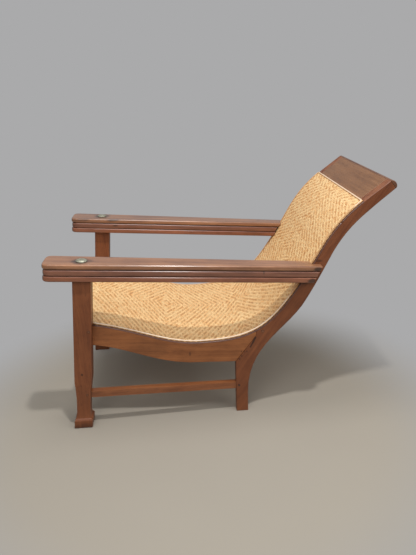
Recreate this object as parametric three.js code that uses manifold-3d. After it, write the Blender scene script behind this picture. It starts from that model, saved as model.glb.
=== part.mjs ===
// Planters chair: a raked hardwood lounge chair with a woven cane seat and swing-out leg rests.
// Millimetres. +Z is up, +X is the sitter's left, and the front of the chair faces -Y.
// Pieces are first drawn with the left pivot bolt at y = 0, then the chair is centred on its length.

import * as THREE from 'three';
import { mergeVertices } from 'three/addons/utils/BufferGeometryUtils.js';
import Module from 'manifold-3d';

const wasm = await Module();
wasm.setup();

// Clearances
const FIT = 0.3;
const LEAF_TOP_GAP = 0.8;
const LEAF_FRONT_GAP = 4;
const LEAF_SIDE_GAP = 1;

// Seat line: the line along the top of the side rails and up the front of the back stiles
const SEAT_HALF_WIDTH = 287;
const SEAT_FRONT_REACH = 45;
const SEAT_FRONT_HEIGHT = 401.5;
const SEAT_FRONT_FALL = 9.7;
const SEAT_DIP_REACH = 378.5;
const SEAT_DIP_HEIGHT = 296.6;
const BACK_BEND_REACH = 812;
const BACK_BEND_HEIGHT = 630.7;
const BACK_BEND_ANGLE = 60.7;
const CREST_TOP_REACH = 1026;
const CREST_TOP_HEIGHT = 845;
const CREST_TOP_ANGLE = 36.9;

// Side rails
const RAIL_THICKNESS = 30;
const RAIL_DEPTH_FRONT = 83;
const RAIL_DEPTH_DIP = 80;
const RAIL_REAR_DROP = 94.5;
const RAIL_CORNER_RADIUS = 8;
const JOINT_TOP_REACH = 581;
const JOINT_NIB = 22;
const JOINT_TENON_BEFORE = 31;
const JOINT_TENON_AFTER = 37;
const JOINT_TENON_THICKNESS = 10;
const JOINT_TENON_TOP = 9;
const JOINT_TENON_BOTTOM = 28;

// Rear legs, each one piece with its back stile
const STILE_WIDTH = 38;
const REAR_LEG_FRONT = 507;
const REAR_LEG_DEPTH = 43;
const REAR_LEG_STRAIGHT = 77;
const STILE_AT_KNEE = 53;
const STILE_AT_ARM = 40;
const STILE_AT_CREST = 38;
const STILE_AT_TOP = 32;
const KNEE_BEFORE_BEND = 112;

// Front legs
const LEG_SIZE = 54;
const LEG_EXTRA_DEPTH = 5.8;
const LEG_LAP = 13;
const LEG_RAKE = 5.5;
const LEG_SET_FORWARD = 19.3;
const LEG_TAPER_HEIGHT = 190;
const ANKLE_SIZE = 42;
const ANKLE_TOP = 88;
const ANKLE_BOTTOM = 66;
const FOOT_SIZE = 59;
const FOOT_BLOCK_HEIGHT = 30;
const FOOT_BEVEL = 6;
const FOOT_TOE_RADIUS = 7;

// Arms: a fixed top board, the swing-out leaf and a fixed bottom board
const ARM_HEIGHT = 630;
const ARM_SLOPE = 4.3;
const ARM_FRONT_LENGTH = 124;
const ARM_REAR_LENGTH = 809;
const ARM_FRONT_WIDTH = 98.5;
const ARM_REAR_WIDTH = 60.5;
const ARM_OVERHANG = 17;
const ARM_REAR_LAP = 28;
const ARM_CORNER_RADIUS = 24;
const ARM_EDGE_RADIUS = 6;
const ARM_END_SETBACK = 20;
const TOP_BOARD = 18;
const LEAF_BOARD = 21.4;
const BOTTOM_BOARD = 20;
const LEAF_SETBACK = 2;

// Pivot bolts
const BOLT_HEAD_DIAMETER = 38;
const BOLT_HEAD_HEIGHT = 7;
const BOLT_SHANK_DIAMETER = 12;
const BOLT_LENGTH_IN_LEG = 45;

// Cross rails
const FRONT_RAIL_THICKNESS = 28;
const FRONT_RAIL_DEPTH = 62;
const FRONT_RAIL_SETBACK = 48;
const REAR_RAIL_THICKNESS = 28;
const REAR_RAIL_DEPTH = 50;
const REAR_RAIL_BEHIND = 69;
const REAR_RAIL_DROP = 67.5;
const CREST_HEIGHT = 114;
const CREST_THICKNESS = 24;
const CREST_CAP_DEPTH = 11;
const TENON_THICKNESS = 12;
const TENON_LENGTH = 16;
const TENON_SHOULDER = 10;

// Side stretchers
const STRETCHER_WIDTH = 22;
const STRETCHER_DEPTH = 25;
const STRETCHER_FRONT_HEIGHT = 129;
const STRETCHER_REAR_HEIGHT = 107;
const STRETCHER_TENON_WIDTH = 12;
const STRETCHER_TENON_DEPTH = 18;

// Cane panel, the pale binding along its four edges, and the rounded wooden beads outside it
const CANE_THICKNESS = 3;
const CANE_CREST_LAP = 7;
const BINDING_WIDTH = 6;
const BINDING_HEIGHT = 2;
const BINDING_INSET = 0.5;
const BEAD_WIDTH = 6;
const BEAD_DEPTH = 4;
const BEAD_RADIUS = 3;
const BACK_BEAD_LENGTH = 100.3;

// Pegs
const PEG_DIAMETER = 8;
const PEG_PROUD = 0.6;
const PEG_DEPTH = 34;
const RAIL_PEG_DROP = 10;
const RAIL_PEG_EDGE = 10;
const STRETCHER_PEG_EDGE = 10;
const STRETCHER_PEG_RISE = 4.5;
const JOINT_PEG_AFTER = 15;
const JOINT_PEG_DROP = 16;
const JOINT_PEG_DIAMETER = 11;

// Drawing
const ARRIS = 2;
const SEAT_STEPS = 48;
const CURVE_STEPS = 12;
const ROUND_SIDES = 24;

// Derived sizes
const LEG_INNER = SEAT_HALF_WIDTH - LEG_LAP;
const PIVOT_X = LEG_INNER + LEG_SIZE / 2;
const LEG_OUTER = LEG_INNER + LEG_SIZE;
const STILE_INNER = SEAT_HALF_WIDTH - STILE_WIDTH;
const STILE_X = SEAT_HALF_WIDTH - STILE_WIDTH / 2;
const RAIL_X = SEAT_HALF_WIDTH - RAIL_THICKNESS / 2;
const LEAF_TOP = -TOP_BOARD - LEAF_TOP_GAP;
const BOTTOM_TOP = LEAF_TOP - LEAF_BOARD - FIT;
const ARM_STACK = -BOTTOM_TOP + BOTTOM_BOARD;
const SLOPE = THREE.MathUtils.degToRad(ARM_SLOPE);
const CANE_UNDERSIDE = FIT;
const CANE_TOP = CANE_UNDERSIDE + CANE_THICKNESS;
const CANE_HALF_WIDTH = SEAT_HALF_WIDTH - BEAD_WIDTH - FIT;
const BINDING_UNDERSIDE = CANE_TOP + FIT;
const BINDING_TOP = BINDING_UNDERSIDE + BINDING_HEIGHT;
const FRONT_RAIL_Y = -FRONT_RAIL_SETBACK + FRONT_RAIL_THICKNESS / 2;

// Materials
const frameWood = new THREE.MeshStandardMaterial({ color: 0x6f4329, roughness: 0.5, metalness: 0 });
const armWood = new THREE.MeshStandardMaterial({ color: 0x7b5039, roughness: 0.42, metalness: 0 });
const stretcherWood = new THREE.MeshStandardMaterial({ color: 0x87502a, roughness: 0.5, metalness: 0 });
const beadWood = new THREE.MeshStandardMaterial({ color: 0x5f4338, roughness: 0.4, metalness: 0 });
const pegWood = new THREE.MeshStandardMaterial({ color: 0x7f4c30, roughness: 0.6, metalness: 0 });
const cane = new THREE.MeshStandardMaterial({ color: 0xe2b57a, roughness: 0.6, metalness: 0 });
const bindingCane = new THREE.MeshStandardMaterial({ color: 0xe8c795, roughness: 0.5, metalness: 0 });
const boltMetal = new THREE.MeshStandardMaterial({ color: 0x8c8f7e, roughness: 0.4, metalness: 1 });

// Solid helpers
function toSolid(geometry) {
  const bare = geometry.clone();
  bare.deleteAttribute('normal');
  bare.deleteAttribute('uv');
  const merged = mergeVertices(bare, 1e-4);
  return new wasm.Manifold(new wasm.Mesh({
    numProp: 3,
    vertProperties: merged.attributes.position.array,
    triVerts: new Uint32Array(merged.index.array),
  }));
}

function toGeometry(solid) {
  const mesh = solid.getMesh();
  const geometry = new THREE.BufferGeometry();
  geometry.setAttribute('position', new THREE.BufferAttribute(new Float32Array(mesh.vertProperties), 3));
  geometry.setIndex(new THREE.BufferAttribute(new Uint32Array(mesh.triVerts), 1));
  geometry.computeVertexNormals();
  return geometry;
}

function join(first, ...others) {
  return toGeometry(others.reduce((sum, other) => sum.add(toSolid(other)), toSolid(first)));
}

function cut(body, ...cutters) {
  return toGeometry(cutters.reduce((rest, cutter) => rest.subtract(toSolid(cutter)), toSolid(body)));
}

function overlap(first, second) {
  return toGeometry(toSolid(first).intersect(toSolid(second)));
}

function flipFaces(geometry) {
  const index = geometry.index.array;
  for (let i = 0; i < index.length; i += 3) {
    [index[i], index[i + 1]] = [index[i + 1], index[i]];
  }
  geometry.computeVertexNormals();
  return geometry;
}

function mirrored(geometry) {
  const bare = geometry.clone();
  bare.deleteAttribute('normal');
  bare.deleteAttribute('uv');
  const copy = mergeVertices(bare, 1e-4);
  copy.applyMatrix4(new THREE.Matrix4().makeScale(-1, 1, 1));
  return flipFaces(copy);
}

// An outline in the chair's side view (y, z), given thickness along X about x = centre
const SIDE_VIEW = new THREE.Matrix4().makeBasis(
  new THREE.Vector3(0, 1, 0), new THREE.Vector3(0, 0, 1), new THREE.Vector3(1, 0, 0));

function sidePlate(outline, thickness, centre, arris = 0, segments = 1) {
  const geometry = new THREE.ExtrudeGeometry(new THREE.Shape(outline), {
    depth: thickness - 2 * arris,
    bevelEnabled: arris > 0,
    bevelThickness: arris,
    bevelSize: arris,
    bevelOffset: -arris,
    bevelSegments: segments,
    curveSegments: CURVE_STEPS,
  });
  geometry.translate(0, 0, -thickness / 2 + arris);
  geometry.applyMatrix4(SIDE_VIEW);
  return geometry.translate(centre, 0, 0);
}

function block(width, depth, height, x, y, z) {
  return new THREE.BoxGeometry(width, depth, height).translate(x, y, z);
}

// A round bar along X from one x to another
function crossBar(radius, from, to, y, z) {
  const bar = new THREE.CylinderGeometry(radius, radius, to - from, ROUND_SIDES / 2);
  return bar.rotateZ(Math.PI / 2).translate((from + to) / 2, y, z);
}

// Curve helpers: the side view's y and z are a Vector2's x and y
function direction(degrees) {
  const angle = THREE.MathUtils.degToRad(degrees);
  return new THREE.Vector2(Math.cos(angle), Math.sin(angle));
}

function sweep(from, fromAngle, fromPull, to, toAngle, toPull) {
  return new THREE.CubicBezierCurve(
    from,
    from.clone().addScaledVector(direction(fromAngle), fromPull),
    to.clone().addScaledVector(direction(toAngle), -toPull),
    to);
}

function distanceShare(from, to, share) {
  return from.distanceTo(to) * share;
}

const seatFront = new THREE.Vector2(-SEAT_FRONT_REACH, SEAT_FRONT_HEIGHT);
const seatDip = new THREE.Vector2(SEAT_DIP_REACH, SEAT_DIP_HEIGHT);
const backBend = new THREE.Vector2(BACK_BEND_REACH, BACK_BEND_HEIGHT);
const crestTop = new THREE.Vector2(CREST_TOP_REACH, CREST_TOP_HEIGHT);

const seatLine = new THREE.CurvePath();
seatLine.add(sweep(
  seatFront, -SEAT_FRONT_FALL, distanceShare(seatFront, seatDip, 0.481),
  seatDip, 0, distanceShare(seatFront, seatDip, 0.3035)));
seatLine.add(sweep(
  seatDip, 0, distanceShare(seatDip, backBend, 0.405),
  backBend, BACK_BEND_ANGLE, distanceShare(seatDip, backBend, 0.6)));
seatLine.add(sweep(
  backBend, BACK_BEND_ANGLE, distanceShare(backBend, crestTop, 0.43),
  crestTop, CREST_TOP_ANGLE, distanceShare(backBend, crestTop, 0.33)));

// The seat line is drawn as straight runs between stations, which every piece along it shares
const seatStations = [];
for (let i = 0; i <= SEAT_STEPS; i += 1) {
  const t = i / SEAT_STEPS;
  seatStations.push({ point: seatLine.getPoint(t), tangent: seatLine.getTangent(t) });
}

function stationOff(i, rise) {
  const { point, tangent } = seatStations[i];
  return new THREE.Vector2(point.x - tangent.y * rise, point.y + tangent.x * rise);
}

// A point off the seat line: a rise above 0 is towards the sitter, and one below 0 is in the wood
function offSeat(t, rise) {
  const i = Math.min(Math.floor(t * SEAT_STEPS), SEAT_STEPS - 1);
  return stationOff(i, rise).lerp(stationOff(i + 1, rise), t * SEAT_STEPS - i);
}

// The place along the seat line that lies at a given y, found by halving
function seatAtY(y, rise = 0) {
  let low = 0;
  let high = 1;
  for (let i = 0; i < 40; i += 1) {
    const middle = (low + high) / 2;
    if (offSeat(middle, rise).x < y) low = middle;
    else high = middle;
  }
  return (low + high) / 2;
}

function seatHeight(y) {
  return offSeat(seatAtY(y), 0).y;
}

function stationsBetween(from, to) {
  const stations = seatStations.map((_, i) => i / SEAT_STEPS);
  const margin = onSeat(2 * ARRIS);
  const between = stations.filter((t) => t > Math.min(from, to) + margin && t < Math.max(from, to) - margin);
  if (from > to) between.reverse();
  return [from, ...between, to];
}

function alongSeat(from, to, riseAt) {
  return stationsBetween(from, to).map((t) => offSeat(t, riseAt(t)));
}

// A strip that lies along the seat line between two rises
function seatBand(from, to, lowRise, highRise) {
  return [
    ...alongSeat(from, to, () => lowRise),
    ...alongSeat(to, from, () => highRise),
  ];
}

// A moulding that runs along the seat line: its convex section is a list of [x, rise]
function seatMoulding(section, from, to) {
  const rings = stationsBetween(from, to);
  const positions = [];
  for (const t of rings) {
    for (const [x, rise] of section) {
      const point = offSeat(t, rise);
      positions.push(x, point.x, point.y);
    }
  }
  const size = section.length;
  const last = (rings.length - 1) * size;
  const index = [];
  for (let j = 1; j < size - 1; j += 1) {
    index.push(0, j, j + 1);
    index.push(last, last + j + 1, last + j);
  }
  for (let i = 0; i < last; i += size) {
    for (let j = 0; j < size; j += 1) {
      const next = (j + 1) % size;
      index.push(i + j, i + size + next, i + next);
      index.push(i + j, i + size + j, i + size + next);
    }
  }
  const geometry = new THREE.BufferGeometry();
  geometry.setAttribute('position', new THREE.Float32BufferAttribute(positions, 3));
  geometry.setIndex(index);
  geometry.computeVertexNormals();
  return geometry;
}

function onSeat(length) {
  return length / seatLine.getLength();
}

const crestLowerT = 1 - onSeat(CREST_HEIGHT);
const canePanelEnd = crestLowerT + onSeat(CANE_CREST_LAP);
const beadJointT = canePanelEnd - onSeat(BACK_BEAD_LENGTH);

// The bead is a quarter round flush with the outer face, and its rebate is the same with clearance
function edgeBead(from, to) {
  const radius = BEAD_RADIUS;
  const round = new THREE.EllipseCurve(SEAT_HALF_WIDTH - radius, -radius, radius, radius, 0, Math.PI / 2);
  return seatMoulding([
    [SEAT_HALF_WIDTH - BEAD_WIDTH, 0],
    [SEAT_HALF_WIDTH - BEAD_WIDTH, -BEAD_DEPTH],
    [SEAT_HALF_WIDTH, -BEAD_DEPTH],
    ...round.getPoints(4).map((p) => [p.x, p.y]),
  ], from, to);
}

function beadRebate() {
  const inner = SEAT_HALF_WIDTH - BEAD_WIDTH - FIT;
  const outer = SEAT_HALF_WIDTH + BEAD_WIDTH;
  const bottom = -BEAD_DEPTH - FIT;
  return seatMoulding([
    [inner, BEAD_DEPTH],
    [inner, bottom],
    [outer, bottom],
    [outer, BEAD_DEPTH],
  ], 0, canePanelEnd + onSeat(FIT));
}

// Arm planes and the arm's own frame, with its origin on the bolt axis at the top surface
const armFrame = new THREE.Matrix4().makeRotationX(-SLOPE);
armFrame.setPosition(PIVOT_X, 0, ARM_HEIGHT);
const toArmFrame = armFrame.clone().invert();

function armPlaneHeight(y, depth) {
  return ARM_HEIGHT - depth / Math.cos(SLOPE) - y * Math.tan(SLOPE);
}

// Front leg: its centre line leans about a point at the seat's height, and its half width grows from a
// foot, through an ankle, to the square upper leg
function legCentreY(z) {
  return -LEG_SET_FORWARD - (SEAT_FRONT_HEIGHT - z) * Math.tan(THREE.MathUtils.degToRad(LEG_RAKE));
}

// Half the leg's width across the chair, at a height where it grows from the ankle
function legHalfWidth(z) {
  const share = THREE.MathUtils.clamp((z - ANKLE_TOP) / (LEG_TAPER_HEIGHT - ANKLE_TOP), 0, 1);
  return (ANKLE_SIZE + (LEG_SIZE - ANKLE_SIZE) * share ** 2) / 2;
}

function legHalfOutline(topHeight, grow, widen) {
  const foot = FOOT_SIZE / 2 + grow + widen;
  const ankle = ANKLE_SIZE / 2 + grow + widen;
  const leg = LEG_SIZE / 2 + grow + widen;
  const path = new THREE.Path();
  path.moveTo(foot - FOOT_TOE_RADIUS * 0.7, -grow);
  path.quadraticCurveTo(foot, -grow, foot, FOOT_TOE_RADIUS);
  path.lineTo(foot, FOOT_BLOCK_HEIGHT);
  path.lineTo(foot - FOOT_BEVEL / 2, FOOT_BLOCK_HEIGHT + FOOT_BEVEL);
  path.quadraticCurveTo(ankle, FOOT_BLOCK_HEIGHT + FOOT_BEVEL, ankle, ANKLE_BOTTOM);
  path.lineTo(ankle, ANKLE_TOP);
  path.quadraticCurveTo(ankle, (ANKLE_TOP + LEG_TAPER_HEIGHT) / 2, leg, LEG_TAPER_HEIGHT);
  path.lineTo(leg, topHeight);
  return path.getPoints(4);
}

// Joins a half outline and its mirror image about a centre line, the two ends cut to a top line
function legOutline(grow, widen, centreAt, topAt) {
  const half = legHalfOutline(SEAT_FRONT_HEIGHT, grow, widen);
  const right = half.map((p) => new THREE.Vector2(centreAt(p.y) + p.x, p.y));
  const left = half.map((p) => new THREE.Vector2(centreAt(p.y) - p.x, p.y)).reverse();
  const legHalf = LEG_SIZE / 2 + grow + widen;
  const highest = armPlaneHeight(0, ARM_STACK);
  const topRight = centreAt(highest) + legHalf;
  const topLeft = centreAt(highest) - legHalf;
  right.push(new THREE.Vector2(topRight, topAt(topRight)));
  left.unshift(new THREE.Vector2(topLeft, topAt(topLeft)));
  return [...right, ...left];
}

function frontLegBlank(grow) {
  const topAt = (y) => armPlaneHeight(y, ARM_STACK + FIT) + grow;
  const sideOutline = legOutline(grow, LEG_EXTRA_DEPTH / 2, legCentreY, topAt);
  const frontOutline = legOutline(grow, 0, () => PIVOT_X, () => ARM_HEIGHT);
  const fromSide = sidePlate(sideOutline, FOOT_SIZE * 2, PIVOT_X);
  const fromFront = new THREE.ExtrudeGeometry(new THREE.Shape(frontOutline), {
    depth: LEG_SIZE * 4,
    bevelEnabled: false,
  });
  fromFront.rotateX(Math.PI / 2).translate(0, LEG_SIZE * 2 + legCentreY(ARM_HEIGHT / 2), 0);
  return overlap(fromSide, fromFront);
}

// Rear leg and stile: thickness behind the seat line at the knee, the arm, the crest and the top
const kneeT = seatAtY(BACK_BEND_REACH - KNEE_BEFORE_BEND);
const stileStations = [
  [kneeT, STILE_AT_KNEE],
  [seatAtY(BACK_BEND_REACH), STILE_AT_ARM],
  [crestLowerT, STILE_AT_CREST],
  [1, STILE_AT_TOP],
];

function stileThickness(t) {
  for (let i = 1; i < stileStations.length; i += 1) {
    const [from, thin] = stileStations[i - 1];
    const [to, next] = stileStations[i];
    if (t <= to) return thin + (next - thin) * Math.max(0, (t - from) / (to - from));
  }
  return STILE_AT_TOP;
}

// The slanting joint of side rail and rear leg, with an upright nib below the seat line
const railRearCorner = new THREE.Vector2(REAR_LEG_FRONT, seatHeight(REAR_LEG_FRONT) - RAIL_REAR_DROP);
const jointTop = new THREE.Vector2(JOINT_TOP_REACH, seatHeight(JOINT_TOP_REACH) - JOINT_NIB);
const jointLength = railRearCorner.distanceTo(jointTop);
const jointDirection = jointTop.clone().sub(railRearCorner).normalize();
const jointInto = new THREE.Vector2(jointDirection.y, -jointDirection.x);

function jointPoint(distance, into) {
  return railRearCorner.clone()
    .addScaledVector(jointDirection, distance)
    .addScaledVector(jointInto, into);
}

function rearLegOutline(grow) {
  const gap = FIT - grow;
  const cornerShift = gap * (1 - jointInto.x) / jointDirection.x;
  const front = alongSeat(seatAtY(JOINT_TOP_REACH + gap, grow), 1, () => grow);
  const back = alongSeat(1, kneeT, (t) => -stileThickness(t) - grow);
  const kneeBack = back[back.length - 1];
  const kneeAngle = THREE.MathUtils.radToDeg(seatLine.getTangent(kneeT).angle()) + 180;
  const heel = new THREE.Vector2(REAR_LEG_FRONT + REAR_LEG_DEPTH + grow, REAR_LEG_STRAIGHT);
  const reach = kneeBack.distanceTo(heel);
  const lower = sweep(kneeBack, kneeAngle, reach * 0.32, heel, -90, reach * 0.48);
  return [
    new THREE.Vector2(REAR_LEG_FRONT - grow, -grow),
    new THREE.Vector2(REAR_LEG_FRONT + REAR_LEG_DEPTH + grow, -grow),
    ...lower.getPoints(CURVE_STEPS).reverse(),
    ...back.slice(0, -1).reverse(),
    ...front.reverse(),
    jointPoint(jointLength + cornerShift, gap),
    new THREE.Vector2(REAR_LEG_FRONT - grow, jointPoint(0, gap).y),
  ];
}

function jointTenon(grow) {
  const outline = seatBand(
    seatAtY(JOINT_TOP_REACH - JOINT_TENON_BEFORE),
    seatAtY(JOINT_TOP_REACH + JOINT_TENON_AFTER) + onSeat(grow),
    -JOINT_TENON_BOTTOM - grow, -JOINT_TENON_TOP + grow);
  return sidePlate(outline, JOINT_TENON_THICKNESS + 2 * grow, RAIL_X);
}

// Side rail: its front end laps inside the front leg, its rear end has the slanting joint
function sideRailOutline() {
  const front = -FRONT_RAIL_SETBACK + FRONT_RAIL_THICKNESS + FIT;
  const low = new THREE.Vector2(SEAT_DIP_REACH, SEAT_DIP_HEIGHT - RAIL_DEPTH_DIP);
  const frontLow = new THREE.Vector2(front, seatHeight(front) - RAIL_DEPTH_FRONT);
  const rearLow = new THREE.Vector2(REAR_LEG_FRONT - RAIL_CORNER_RADIUS, railRearCorner.y);
  const run = frontLow.distanceTo(low);
  const bottomFront = sweep(frontLow, -SEAT_FRONT_FALL / 2, run * 0.35, low, 0, run * 0.4);
  const rise = low.distanceTo(rearLow);
  const bottomRear = sweep(low, 0, rise * 0.3, rearLow, 0, rise * 0.3);
  return [
    ...bottomFront.getPoints(CURVE_STEPS),
    ...bottomRear.getPoints(CURVE_STEPS / 2).slice(1),
    jointPoint(0, -FIT),
    jointPoint(jointLength, 0),
    ...alongSeat(seatAtY(JOINT_TOP_REACH), seatAtY(front), () => 0),
  ];
}

// Stretcher between the front and the rear leg, with a tenon at each end
const stretcherFrom = new THREE.Vector3(PIVOT_X, legCentreY(STRETCHER_FRONT_HEIGHT), STRETCHER_FRONT_HEIGHT);
const stretcherTo = new THREE.Vector3(STILE_X, REAR_LEG_FRONT + REAR_LEG_DEPTH / 2, STRETCHER_REAR_HEIGHT);

function stretcherBar(width, depth, startTrim, endTrim) {
  const run = stretcherTo.clone().sub(stretcherFrom);
  const length = run.length();
  const bar = new THREE.BoxGeometry(width, length - startTrim - endTrim, depth);
  bar.translate(0, (startTrim + length - endTrim) / 2, 0);
  const turn = new THREE.Quaternion().setFromUnitVectors(new THREE.Vector3(0, 1, 0), run.normalize());
  return bar.applyQuaternion(turn).translate(stretcherFrom.x, stretcherFrom.y, stretcherFrom.z);
}

function stretcherTenons(grow) {
  return stretcherBar(
    STRETCHER_TENON_WIDTH + 2 * grow, STRETCHER_TENON_DEPTH + 2 * grow, -grow, -grow);
}

// Cross rails run from side to side and end in tenons
function frontRailOutline() {
  const rear = -FRONT_RAIL_SETBACK + FRONT_RAIL_THICKNESS;
  const bottom = seatHeight(FRONT_RAIL_Y) - FRONT_RAIL_DEPTH;
  return [
    new THREE.Vector2(-FRONT_RAIL_SETBACK, bottom),
    new THREE.Vector2(rear, bottom),
    ...alongSeat(seatAtY(rear), 0, () => 0),
    new THREE.Vector2(-FRONT_RAIL_SETBACK, SEAT_FRONT_HEIGHT - SEAT_FRONT_REACH / 6),
  ];
}

function frontRailTenon(grow) {
  const middle = seatHeight(FRONT_RAIL_Y) - FRONT_RAIL_DEPTH / 2 - TENON_SHOULDER / 2;
  const depth = FRONT_RAIL_DEPTH - 2 * TENON_SHOULDER + 2 * grow;
  const width = 2 * (LEG_INNER + TENON_LENGTH + grow);
  return block(width, TENON_THICKNESS + 2 * grow, depth, 0, FRONT_RAIL_Y, middle);
}

const rearRailY = REAR_LEG_FRONT + REAR_RAIL_BEHIND;
const rearRailPlace = new THREE.Vector2(rearRailY, seatHeight(rearRailY) - REAR_RAIL_DROP);

function rearRailTenon(grow) {
  const depth = REAR_RAIL_DEPTH - 2 * TENON_SHOULDER + 2 * grow;
  const width = 2 * (STILE_INNER + TENON_LENGTH + grow);
  return block(width, TENON_THICKNESS + 2 * grow, depth, 0, rearRailPlace.x, rearRailPlace.y);
}

function crestTenon(grow) {
  const edge = onSeat(TENON_SHOULDER - grow);
  const front = -CREST_THICKNESS / 2 + TENON_THICKNESS / 2 + grow;
  const back = -CREST_THICKNESS / 2 - TENON_THICKNESS / 2 - grow;
  const outline = seatBand(crestLowerT + edge, 1 - 2 * edge, back, front);
  return sidePlate(outline, 2 * (STILE_INNER + TENON_LENGTH + grow), 0);
}

// The cap over the ends of the crest rail and the stiles has a half-oval nose
function crestCapOutline() {
  const along = seatLine.getTangent(1);
  const half = STILE_AT_TOP / 2;
  const nose = new THREE.EllipseCurve(FIT, -half, CREST_CAP_DEPTH, half, -Math.PI / 2, Math.PI / 2);
  return nose.getPoints(CURVE_STEPS).map((p) => offSeat(1, p.y).addScaledVector(along, p.x));
}

// Arm board plan in the arm's frame: x from the bolt axis outwards, y along the arm to the rear
function armPlan(frontSetback) {
  const outerFront = LEG_OUTER + ARM_OVERHANG - PIVOT_X;
  const outerRear = SEAT_HALF_WIDTH + ARM_REAR_LAP - PIVOT_X;
  const front = -ARM_FRONT_LENGTH + frontSetback;
  const rear = ARM_REAR_LENGTH;
  const r = ARM_CORNER_RADIUS;
  const plan = new THREE.Shape();
  plan.moveTo(outerFront - r, front);
  plan.quadraticCurveTo(outerFront, front, outerFront, front + r);
  plan.lineTo(outerRear, rear);
  plan.lineTo(outerRear - ARM_REAR_WIDTH, rear);
  plan.lineTo(outerFront - ARM_FRONT_WIDTH, front + r);
  plan.quadraticCurveTo(outerFront - ARM_FRONT_WIDTH, front, outerFront - ARM_FRONT_WIDTH + r, front);
  plan.closePath();
  return plan;
}

function armBoard(thickness, top, frontSetback, frontGap, sideGap) {
  const board = new THREE.ExtrudeGeometry(armPlan(frontSetback), {
    depth: thickness - 2 * ARM_EDGE_RADIUS,
    bevelEnabled: true,
    bevelThickness: ARM_EDGE_RADIUS,
    bevelSize: ARM_EDGE_RADIUS,
    bevelOffset: -ARM_EDGE_RADIUS,
    bevelSegments: 3,
    curveSegments: CURVE_STEPS / 3,
  }).translate(0, 0, top - thickness + ARM_EDGE_RADIUS);
  const holeRadius = BOLT_SHANK_DIAMETER / 2 + FIT;
  const hole = new THREE.CylinderGeometry(holeRadius, holeRadius, 4 * ARM_STACK, ROUND_SIDES);
  hole.rotateX(Math.PI / 2);
  const notchOuter = SEAT_HALF_WIDTH + sideGap;
  const notchWidth = STILE_WIDTH * 3;
  const notch = sidePlate(rearLegOutline(BINDING_TOP + frontGap), notchWidth, notchOuter - notchWidth / 2)
    .applyMatrix4(toArmFrame);
  const behind = sidePlate(armEndOutline(), ARM_FRONT_WIDTH * 4, STILE_X).applyMatrix4(toArmFrame);
  return cut(board, hole, notch, behind);
}

// The space behind the arm's end, which is cut parallel to the rear of the stile
function armEndOutline() {
  const edge = alongSeat(kneeT, crestLowerT, (t) => -stileThickness(t) + ARM_END_SETBACK);
  return [
    ...edge,
    new THREE.Vector2(CREST_TOP_REACH * 1.5, edge[edge.length - 1].y),
    new THREE.Vector2(CREST_TOP_REACH * 1.5, edge[0].y),
  ];
}

// Pivot bolt: a low domed head over the top board and a plain shank down into the leg
function pivotBolt() {
  const shank = BOLT_SHANK_DIAMETER / 2;
  const head = BOLT_HEAD_DIAMETER / 2;
  const profile = new THREE.Path();
  profile.moveTo(0, -ARM_STACK - BOLT_LENGTH_IN_LEG);
  profile.lineTo(shank, -ARM_STACK - BOLT_LENGTH_IN_LEG);
  profile.lineTo(shank, FIT);
  profile.lineTo(head - 1, FIT);
  profile.lineTo(head, BOLT_HEAD_HEIGHT * 0.25);
  profile.quadraticCurveTo(head * 0.72, BOLT_HEAD_HEIGHT, 0, BOLT_HEAD_HEIGHT);
  return new THREE.LatheGeometry(profile.getPoints(6), ROUND_SIDES).rotateX(Math.PI / 2);
}

function boltHoleInLeg() {
  const radius = BOLT_SHANK_DIAMETER / 2 + FIT;
  const depth = 2 * (BOLT_LENGTH_IN_LEG + FIT);
  const hole = new THREE.CylinderGeometry(radius, radius, depth, ROUND_SIDES).rotateX(Math.PI / 2);
  return hole.translate(0, 0, -ARM_STACK).applyMatrix4(armFrame);
}

// Pegs, each in a hole that passes from the outer face into the tenon behind it
function pegPlaces() {
  const jointPeg = offSeat(seatAtY(JOINT_TOP_REACH + JOINT_PEG_AFTER), -JOINT_PEG_DROP);
  const railPegY = legCentreY(SEAT_FRONT_HEIGHT) + (LEG_SIZE + LEG_EXTRA_DEPTH) / 2 - RAIL_PEG_EDGE;
  const ankleRear = legCentreY(STRETCHER_FRONT_HEIGHT) + (ANKLE_SIZE + LEG_EXTRA_DEPTH) / 2;
  const stretcherPegZ = STRETCHER_FRONT_HEIGHT + STRETCHER_PEG_RISE;
  return {
    front_leg_rail_peg: {
      y: railPegY, z: seatHeight(railPegY) - RAIL_PEG_DROP, face: LEG_OUTER,
      length: LEG_SIZE + RAIL_THICKNESS / 3, diameter: PEG_DIAMETER,
    },
    front_leg_stretcher_peg: {
      y: ankleRear - STRETCHER_PEG_EDGE, z: stretcherPegZ,
      face: PIVOT_X + legHalfWidth(stretcherPegZ), length: PEG_DEPTH, diameter: PEG_DIAMETER,
    },
    rear_leg_stretcher_peg: {
      y: REAR_LEG_FRONT + STRETCHER_PEG_EDGE, z: STRETCHER_REAR_HEIGHT + STRETCHER_PEG_RISE,
      face: SEAT_HALF_WIDTH, length: PEG_DEPTH, diameter: PEG_DIAMETER,
    },
    rail_joint_peg: {
      y: jointPeg.x, z: jointPeg.y, face: SEAT_HALF_WIDTH, length: PEG_DEPTH,
      diameter: JOINT_PEG_DIAMETER,
    },
  };
}

function peg(place, grow) {
  const inner = place.face - place.length - grow;
  const outer = place.face + PEG_PROUD + grow;
  return crossBar(place.diameter / 2 + grow, inner, outer, place.y, place.z);
}

// Assembly
const chair = new THREE.Group();
const pegs = pegPlaces();
const pegHoles = Object.fromEntries(Object.entries(pegs).map(([name, place]) => [name, peg(place, FIT)]));

// Hangs a piece on a parent at a natural point of its own, with its geometry moved to match
function place(parent, name, geometry, material, x, y, z) {
  const mesh = new THREE.Mesh(geometry.translate(-x, -y, -z), material.clone());
  mesh.name = name;
  mesh.position.set(x, y, z);
  parent.add(mesh);
}

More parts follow.
